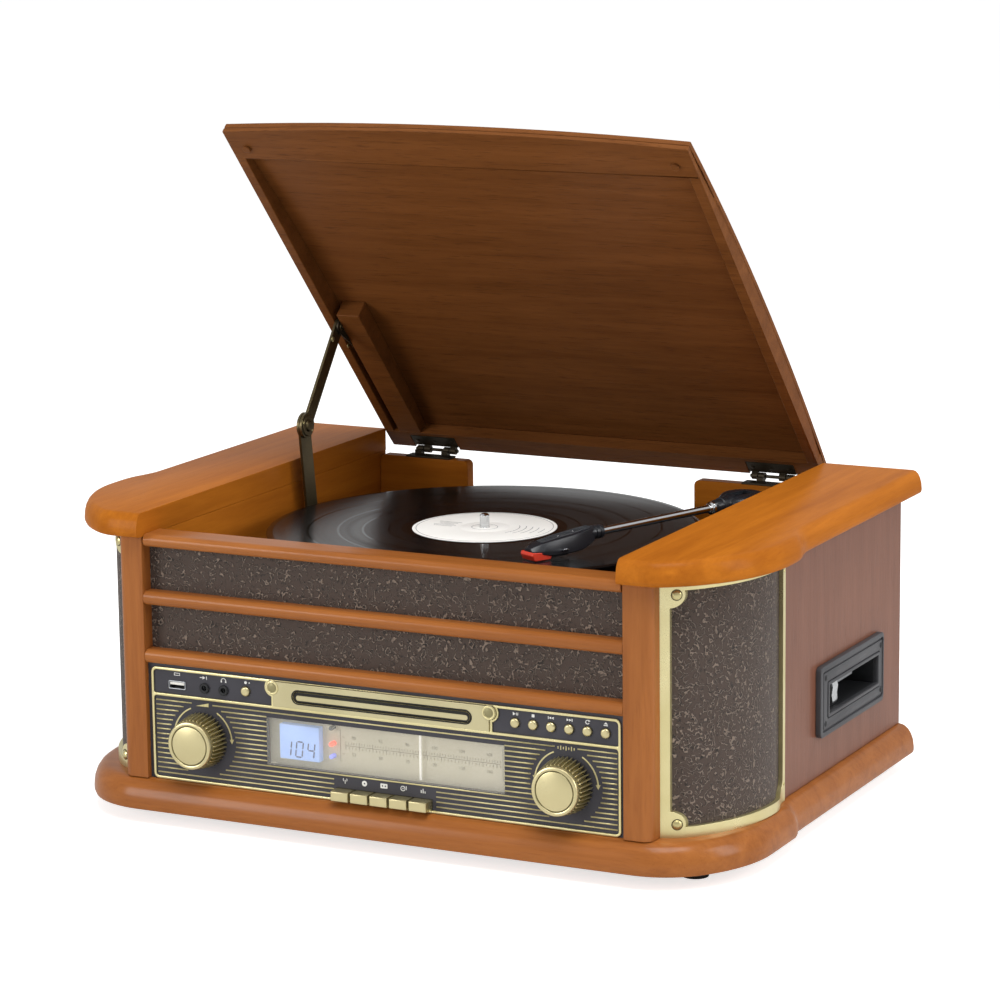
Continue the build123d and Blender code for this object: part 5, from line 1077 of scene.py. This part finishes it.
finishPiece("label_print", plate("label_print", labelShapes, 0.06, 0.0, labelTop), material("label_ink"),
            "turntable")

# ---- headshell, in its own frame: u across, v from the tube's end to the tip ----
tubeEnd, headTip = at(96.50, 137.60, 0), at(67.4, 81.0, 0)
along = (headTip - tubeEnd).normalized()
across = Vector((0, 0, 1)).cross(along).normalized()


def inHead(u, v, z):
    return tubeEnd + across * (u * mm) + along * (v * mm) + Vector((0, 0, z * mm))


# each row: v, half width below, half width above, underside z, top z
shellRows = [(8.6, 4.4, 3.6, 192.6, 201.8), (12.0, 5.2, 4.2, 191.2, 201.8), (16.5, 6.6, 5.2, 189.6, 201.2),
             (21.0, 7.8, 6.2, 188.6, 200.6), (28.0, 8.4, 6.6, 188.0, 199.8), (38.0, 8.4, 6.4, 187.8, 198.8),
             (47.0, 8.0, 5.8, 188.0, 197.8), (53.0, 7.2, 5.0, 189.0, 196.6), (57.5, 6.0, 4.0, 190.0, 195.2),
             (60.6, 4.4, 2.8, 191.0, 193.8)]


def shellRing(v, low, high, under, top):
    lip = under + (top - under) * 0.35
    right = [(low * 0.86, under), (low, under + 0.7), (low, lip), (high, top - 0.5), (high * 0.8, top)]
    ring = [inHead(u, v, z) for u, z in right]
    return ring + [inHead(-u, v, z) for u, z in reversed(right)]


def smoothLoft(name, rings, look, body, replaced=(), levels=1):
    bm = bmesh.new()
    addLoft(bm, rings)
    bmesh.ops.recalc_face_normals(bm, faces=bm.faces)
    holder = bpy.data.objects.new(name, meshFrom(bm, name))
    bpy.context.scene.collection.objects.link(holder)
    rounder = holder.modifiers.new("rounding", "BEVEL")
    rounder.width = 0.35 * mm
    rounder.segments = 2
    rounder.limit_method = "ANGLE"
    rounder.angle_limit = math.radians(28)
    mesh = bpy.data.meshes.new_from_object(holder.evaluated_get(bpy.context.evaluated_depsgraph_get()))
    bpy.data.objects.remove(holder)
    return finishPiece(name, mesh, look, body, replaced)


smoothLoft("headshell_body", [shellRing(*row) for row in shellRows], material("arm_black"), "arm",
           ["headshell"])
ridgeRows = [(10.0, 0.5, 201.6, 202.6), (16.0, 0.6, 201.0, 202.2), (28.0, 0.6, 199.6, 200.7),
             (40.0, 0.6, 198.4, 199.5), (52.0, 0.5, 196.6, 197.5)]
for i, (inner, spread) in enumerate(((-3.2, 1.0), (0.0, 1.0), (3.2, 1.0))):
    rings = []
    for v, w, a, b in ridgeRows:
        u = inner * min(1.0, 0.55 + v / 60) * (1.0 if v < 50 else 0.8)
        rings.append([inHead(u - w, v, a), inHead(u + w, v, a), inHead(u + w * 0.6, v, b), inHead(u - w * 0.6, v, b)])
    smoothLoft(f"headshell_ridge_{i + 1}", rings, material("arm_black"), "arm")
cartridgeRows = [(30.0, 4.4, 187.0, 190.4), (33.0, 5.0, 186.4, 190.4), (45.0, 5.2, 186.4, 190.4), (47.0, 4.6, 186.8, 190.4)]
smoothLoft("cartridge", [[inHead(-w, v, a), inHead(w, v, a), inHead(w, v, b), inHead(-w, v, b)]
                         for v, w, a, b in cartridgeRows], material("arm_black"), "arm")
guardRows = [(-6.9, 0.6), (-6.2, 0.0), (6.2, 0.0), (6.9, 0.6)]
guardSide = [(44.0, 190.4), (61.6, 191.6), (62.4, 189.6), (59.6, 185.7), (47.0, 185.7)]
smoothLoft("stylus_guard", [[inHead(u, v - inset * (1 if v > 60 else -1), z + inset * (0.5 if z < 190 else 0))
                             for v, z in guardSide] for u, inset in guardRows],
           material("guard_red"), "arm")
collarProfile = [(-0.6, 0), (-0.6, 3.6), (0.0, 4.4), (2.6, 4.6), (2.9, 4.1), (3.3, 4.1), (3.6, 4.6), (6.0, 4.6),
                 (6.3, 4.1), (6.7, 4.1), (7.0, 4.6), (11.4, 4.5), (12.4, 3.8), (12.4, 0)]
turnedPiece("headshell_collar", collarProfile, inHead(0, 0, 197.5), along, material("arm_black"), "arm",
            (), 40)
liftRoute = [(7.6, 36.0, 191.0), (10.6, 37.0, 191.0), (13.6, 39.0, 191.8), (15.6, 41.4, 193.2)]
liftRings = []
for (u, v, z), wide in zip(liftRoute, (2.6, 2.6, 2.3, 1.6)):
    liftRings.append([inHead(u, v - wide, z - 0.45), inHead(u, v + wide, z - 0.45), inHead(u, v + wide, z + 0.45),
                      inHead(u, v - wide, z + 0.45)])
smoothLoft("finger_lift", liftRings, material("steel"), "arm")
tinyScrew = screwPart("tiny_screw", 0.9, 0.6, 0.5)
repeated("headshell_screws", tinyScrew, [(inHead(u, v, z), (-90, 0, 0), (1, 1, 1))
                                         for u, v, z in ((0.0, 24.0, 200.5), (0.0, 36.0, 199.0), (4.4, 47.0, 196.6))],
         material("chrome_dull"), "arm")

# ---- tonearm root and hub ----
armRoot = at(147.4, 260.9, 198.8)
armWay = (tubeEnd + Vector((0, 0, 197.5 * mm)) - armRoot).normalized()
turnedPiece("tube_ring", [(29.0, 2.6), (29.0, 4.2), (29.4, 4.6), (31.2, 4.6), (31.6, 4.2), (32.2, 3.2), (33.6, 3.1),
                          (34.0, 2.6), (29.0, 2.6)], armRoot, armWay, material("chrome"), "arm", (), 32)
turnedPiece("arm_root", [(10.0, 2.5), (10.0, 6.4), (14.0, 6.6), (16.0, 5.6), (18.0, 5.6), (18.4, 6.2), (22.0, 6.2),
                         (22.4, 5.4), (27.6, 5.2), (29.0, 4.4), (29.0, 2.5), (10.0, 2.5)], armRoot, armWay,
            material("arm_black"), "arm", (), 40)
softCopy("tonearm_hub", material("arm_black"), 0.0)
turnedPiece("hub_ring", [(0.0, 17.35), (0.0, 17.9), (0.5, 18.2), (1.8, 18.2), (2.3, 17.9), (2.3, 17.35), (0.0, 17.35)],
            at(147.4, 260.9, 190.2), (0, 0, 1), material("arm_black"), "arm_swing", (), 64)
hubScrews = [(at(147.4 + 15.2 * math.cos(a), 260.9 + 15.2 * math.sin(a), 203.3), (-60, 0, math.degrees(a) + 90), (1, 1, 1))
             for a in (math.radians(d) for d in (205, 335, 90))]
repeated("hub_screws", tinyScrew, hubScrews, material("chrome_dull"), "arm_swing")
print("stage: record and tonearm")

# ---- cassette slot: stepped bezel, corner screws, spring and guide ----
bezel = {"rim": (180.0, 298.0, 58.5, 107.5), "rimHole": (184.2, 296.6, 61.8, 103.8),
         "field": (186.6, 295.8, 63.4, 102.2), "fieldHole": (193.4, 290.9, 69.6, 95.4),
         "lip": (194.2, 290.2, 70.3, 94.7), "mouth": (196.5, 288.0, 72.5, 92.5), "face": 234.0}


def onSide(x):
    # drawings in millimetres of Y and Z, lying on the plane at x and facing right
    return facing(at(x, 0, 0), (0, 1, 0), (0, 0, 1))


def frameOf(name, outer, hole, corner, inner, thick, rounding, replaced=()):
    shapes = [roundedBox(*outer, corner), roundedBox(*hole, inner)]
    mesh = plate(name, shapes, thick, rounding, onSide(bezel["face"]))
    return finishPiece(name, mesh, material("bezel_grey"), "cabinet", replaced)


frameOf("bezel_rim", bezel["rim"], bezel["rimHole"], 4.0, 2.0, 4.0, 0.5, ["cassette_bezel"])
frameOf("bezel_floor", (183.0, 297.2, 60.5, 105.0), bezel["mouth"], 2.0, 0.6, 2.6, 0.1)
frameOf("bezel_field", bezel["field"], bezel["fieldHole"], 2.0, 1.5, 3.4, 0.35)
frameOf("bezel_lip", bezel["lip"], bezel["mouth"], 1.5, 0.8, 3.9, 0.4)
sideScrew = screwPart("side_screw", 2.1, 0.9, 1.3)
repeated("bezel_screws", sideScrew, [(at(237.2, y, z), (0, 0, 90), (1, 1, 1))
                                     for y, z in ((190.2, 98.4), (190.2, 66.9), (293.3, 98.4), (293.3, 66.9))],
         material("well_dark"), "cabinet")
springRoute = [(214.2, 72.6), (228.0, 72.9), (231.5, 73.6), (232.6, 76.0), (232.0, 80.5), (232.8, 86.0), (231.6, 90.6)]
springRings = []
for i, (x, z) in enumerate(springRoute):
    nearX, nearZ = springRoute[min(i + 1, len(springRoute) - 1)]
    backX, backZ = springRoute[max(i - 1, 0)]
    way = Vector((nearX - backX, nearZ - backZ)).normalized() * 0.45
    springRings.append([at(x + way.y, 214.4, z - way.x), at(x + way.y, 223.4, z - way.x),
                        at(x - way.y, 223.4, z + way.x), at(x - way.y, 214.4, z + way.x)])
smoothLoft("cassette_spring", springRings, material("chrome_dull"), "cabinet")
guideShapes = [[(210.8, 84.4), (262.2, 84.4), (262.2, 92.4), (210.8, 92.4)],
               [(247.0, 86.6), (256.0, 86.6), (256.0, 91.0), (247.0, 91.0)]]
finishPiece("cassette_guide", plate("cassette_guide", guideShapes, 1.0, 0.15, onSide(227.2)),
            material("plastic_grey"), "cabinet")
guideRail = [[(x, z) for x, z in ((209.0, 84.2), (227.9, 84.2), (227.9, 85.3), (209.0, 85.3))]]
railPlace = facing(at(0, 262.2, 0), (1, 0, 0), (0, 0, 1))
finishPiece("cassette_guide_shelf", plate("cassette_guide_shelf", guideRail, 51.4, 0.2, railPlace),
            material("chrome_dull"), "cabinet")

# ---- hinges and stay: screws, rings and domes ----
hingeLine = at(0, 345.6, 200.0)
opening = Matrix.Rotation(math.radians(-47.2), 4, "X")


def onLid(x, y, z):
    # a place on the shut lid, moved to where the open lid holds it
    return hingeLine + opening @ (at(x, y, z) - hingeLine)


leafScrew = screwPart("leaf_screw", 1.7, 0.5, 1.0)
fixedPlaces = [(at(side * x, 333.5, 194.8 + 1.7), (-90, 0, 0), (1, 1, 1)) for side in (-1, 1) for x in (121, 135, 149)]
repeated("post_leaf_screws", leafScrew, fixedPlaces, material("shaded_hinge_bronze"), "cabinet")
lidPlaces = [(onLid(side * x, 337.5, 201.45), (90 - 47.2, 0, 0), (1, 1, 1)) for side in (-1, 1) for x in (121, 135, 149)]
repeated("lid_leaf_screws", leafScrew, lidPlaces, material("shaded_hinge_bronze"), "lid")
ringProfile = [(0.0, 0), (0.0, 1.3), (-0.5, 1.7), (-0.5, 2.3), (0.0, 2.6), (-0.1, 3.2), (0.9, 4.2), (1.2, 4.2), (1.2, 0)]
turnedPiece("stay_head_washer", [(-d, r * 0.9) for d, r in ringProfile], onLid(-161.0, 203.6, 201.0), (1, 0, 0),
            material("bronze"), "lid", (), 32)
repeated("lid_side_screw", leafScrew, [(at(-165.4, 267.1, 288.2), (0, 0, 90), (1.1, 1.1, 1.1))],
         material("screw_gold"), "lid")
dome = screwPart("stay_dome", 1.5, 0.9)
repeated("elbow_rivets", dome, [(at(-162.7, y, z), (0, 0, 90), (1, 1, 1)) for y, z in ((194.6, 243.2), (205.6, 236.2))],
         material("screw_gold"), "stay_upper")
repeated("stay_end_rivet", dome, [(at(-162.7, 239.4, 297.0), (0, 0, 90), (1.4, 1, 1.4))],
         material("screw_gold"), "stay_upper")
turnedPiece("elbow_washer", [(0.0, 4.3), (0.0, 7.2), (0.5, 7.6), (0.9, 7.2), (0.9, 4.3), (0.0, 4.3)],
            at(-162.9, 200.7, 240.5), (1, 0, 0), material("bronze"), "stay_upper", (), 48)
for node in ("stay_lower_arm", "stay_upper_arm"):
    softCopy(node, material("bronze"), 0.25 * mm, 1, 50)
# the hinges take the darkened bronze, painted shade for the lid's shadow
for node in ("lid_hinge_set", "cabinet_hinge_set"):
    softCopy(node, material("shaded_hinge_bronze"), 0.25 * mm, 1, 50)

# ---- rear: cover screws, inlet pins, colour rings ----
coverPlaces = [(at(x, 340.1, z), (0, 0, 180), (1, 1, 1)) for x in (-215, -110, 0, 110, 215) for z in (36.5, 138.5)]
repeated("cover_screws", screwPart("cover_screw", 2.8, 1.4, 1.7), coverPlaces, material("steel"), "cabinet")
for i, x in enumerate((-153.5, -146.5)):
    turnedPiece(f"inlet_pin_{i + 1}", [(0.0, 0), (0.0, 1.15), (9.6, 1.15), (10.4, 0.6), (10.4, 0)], at(x, 328.0, 62.0),
                (0, 1, 0), material("chrome_dull"), "cabinet", (), 20)
for name, x, look in (("left_out_ring", 121.0, "socket_white"), ("right_out_ring", 139.0, "socket_red")):
    turnedPiece(name, [(0.0, 4.15), (0.0, 6.4), (0.4, 6.8), (1.4, 6.8), (1.8, 6.4), (1.8, 4.15), (0.0, 4.15)],
                at(x, 340.2, 62.0), (0, 1, 0), material(look), "cabinet", (), 40)
print("stage: side, hinges, rear")

# ---- camera, light, floor ----
shot = {"azimuth": 26.69, "elevation": 11.35, "roll": -0.67, "distance": 2.50479, "lens": 132.583,
        "target": (15.07, 150.0, 209.86)}
azimuth, elevation, roll = (math.radians(shot[k]) for k in ("azimuth", "elevation", "roll"))
back = Vector((math.sin(azimuth) * math.cos(elevation), -math.cos(azimuth) * math.cos(elevation),
               math.sin(elevation)))
right = (-back).cross(Vector((0, 0, 1))).normalized()
up = right.cross(-back)
turnedRight = right * math.cos(roll) + up * math.sin(roll)
turnedUp = up * math.cos(roll) - right * math.sin(roll)
camera = bpy.data.objects.new("camera", bpy.data.cameras.new("camera"))
camera.data.sensor_width = 36
camera.data.lens = shot["lens"]
camera.data.clip_end = 50
camera.matrix_world = (Matrix.Translation(at(*shot["target"]) + back * shot["distance"])
                       @ Matrix((turnedRight, turnedUp, back)).transposed().to_4x4())
bpy.context.scene.collection.objects.link(camera)
bpy.context.scene.camera = camera

lamps = {
    "above": {"place": (0.55, -0.7, 1.9), "aim": (0, 0, 0.15), "size": (1.3, 1.0), "power": 33},
    "front": {"place": (-1.5, -2.0, 0.75), "aim": (0, 0, 0.15), "size": (0.9, 1.1), "power": 24},
    "side": {"place": (2.1, 0.2, 1.0), "aim": (0.1, 0, 0.15), "size": (0.7, 1.4), "power": 20},
}
for name, lamp in lamps.items():
    light = bpy.data.lights.new(name, "AREA")
    light.shape = "RECTANGLE"
    light.size, light.size_y = lamp["size"]
    light.energy = lamp["power"]
    holder = bpy.data.objects.new(name, light)
    bpy.context.scene.collection.objects.link(holder)
    away = Vector(lamp["place"]) - Vector(lamp["aim"])
    holder.matrix_world = Matrix.Translation(lamp["place"]) @ away.to_track_quat("Z", "Y").to_matrix().to_4x4()

world = bpy.data.worlds.new("studio")
bpy.context.scene.world = world
world.use_nodes = True
sky = world.node_tree
sky.nodes.clear()
rays = put(sky, "LightPath")
mirrored = sums(sky, "MULTIPLY", rays.outputs["Is Glossy Ray"], 0.5)
seen = sums(sky, "MAXIMUM", rays.outputs["Is Camera Ray"],
            sums(sky, "MAXIMUM", mirrored, rays.outputs["Is Transmission Ray"]))
level = sums(sky, "ADD", sums(sky, "MULTIPLY", seen, 0.64), 0.36)
glow = put(sky, "Background", {"Color": (1, 1, 1, 1), "Strength": level})
skyOut = sky.nodes.new("ShaderNodeOutputWorld")
sky.links.new(glow.outputs[0], skyOut.inputs["Surface"])

floorMaterial = bpy.data.materials.new("floor")
floorMaterial.use_nodes = True
ground = floorMaterial.node_tree
ground.nodes.clear()
groundRays = put(ground, "LightPath")
cloud = put(ground, "TexNoise", {"Scale": 3.0}).outputs["Fac"]
paper = blendColors(ground, cloud, linear("f4f4f3"), linear("f1f1f0"))
matt = put(ground, "BsdfDiffuse", {"Color": paper})
lift = put(ground, "Emission", {"Color": (1, 1, 1, 1),
                                "Strength": sums(ground, "MULTIPLY", groundRays.outputs["Is Camera Ray"], 0.68)})
both = put(ground, "AddShader", {0: matt.outputs[0], 1: lift.outputs[0]})
groundOut = ground.nodes.new("ShaderNodeOutputMaterial")
ground.links.new(both.outputs[0], groundOut.inputs["Surface"])
floorSheet = bpy.data.meshes.new("floor")
floorSheet.from_pydata([(-30, -30, 0), (30, -30, 0), (30, 30, 0), (-30, 30, 0)], [], [(0, 1, 2, 3)])
floorSheet.materials.append(floorMaterial)
floor = bpy.data.objects.new("floor", floorSheet)
bpy.context.scene.collection.objects.link(floor)
bpy.context.scene.view_settings.view_transform = "Standard"
print("stage: camera and light")

for part in used:
    bpy.data.objects.remove(part)
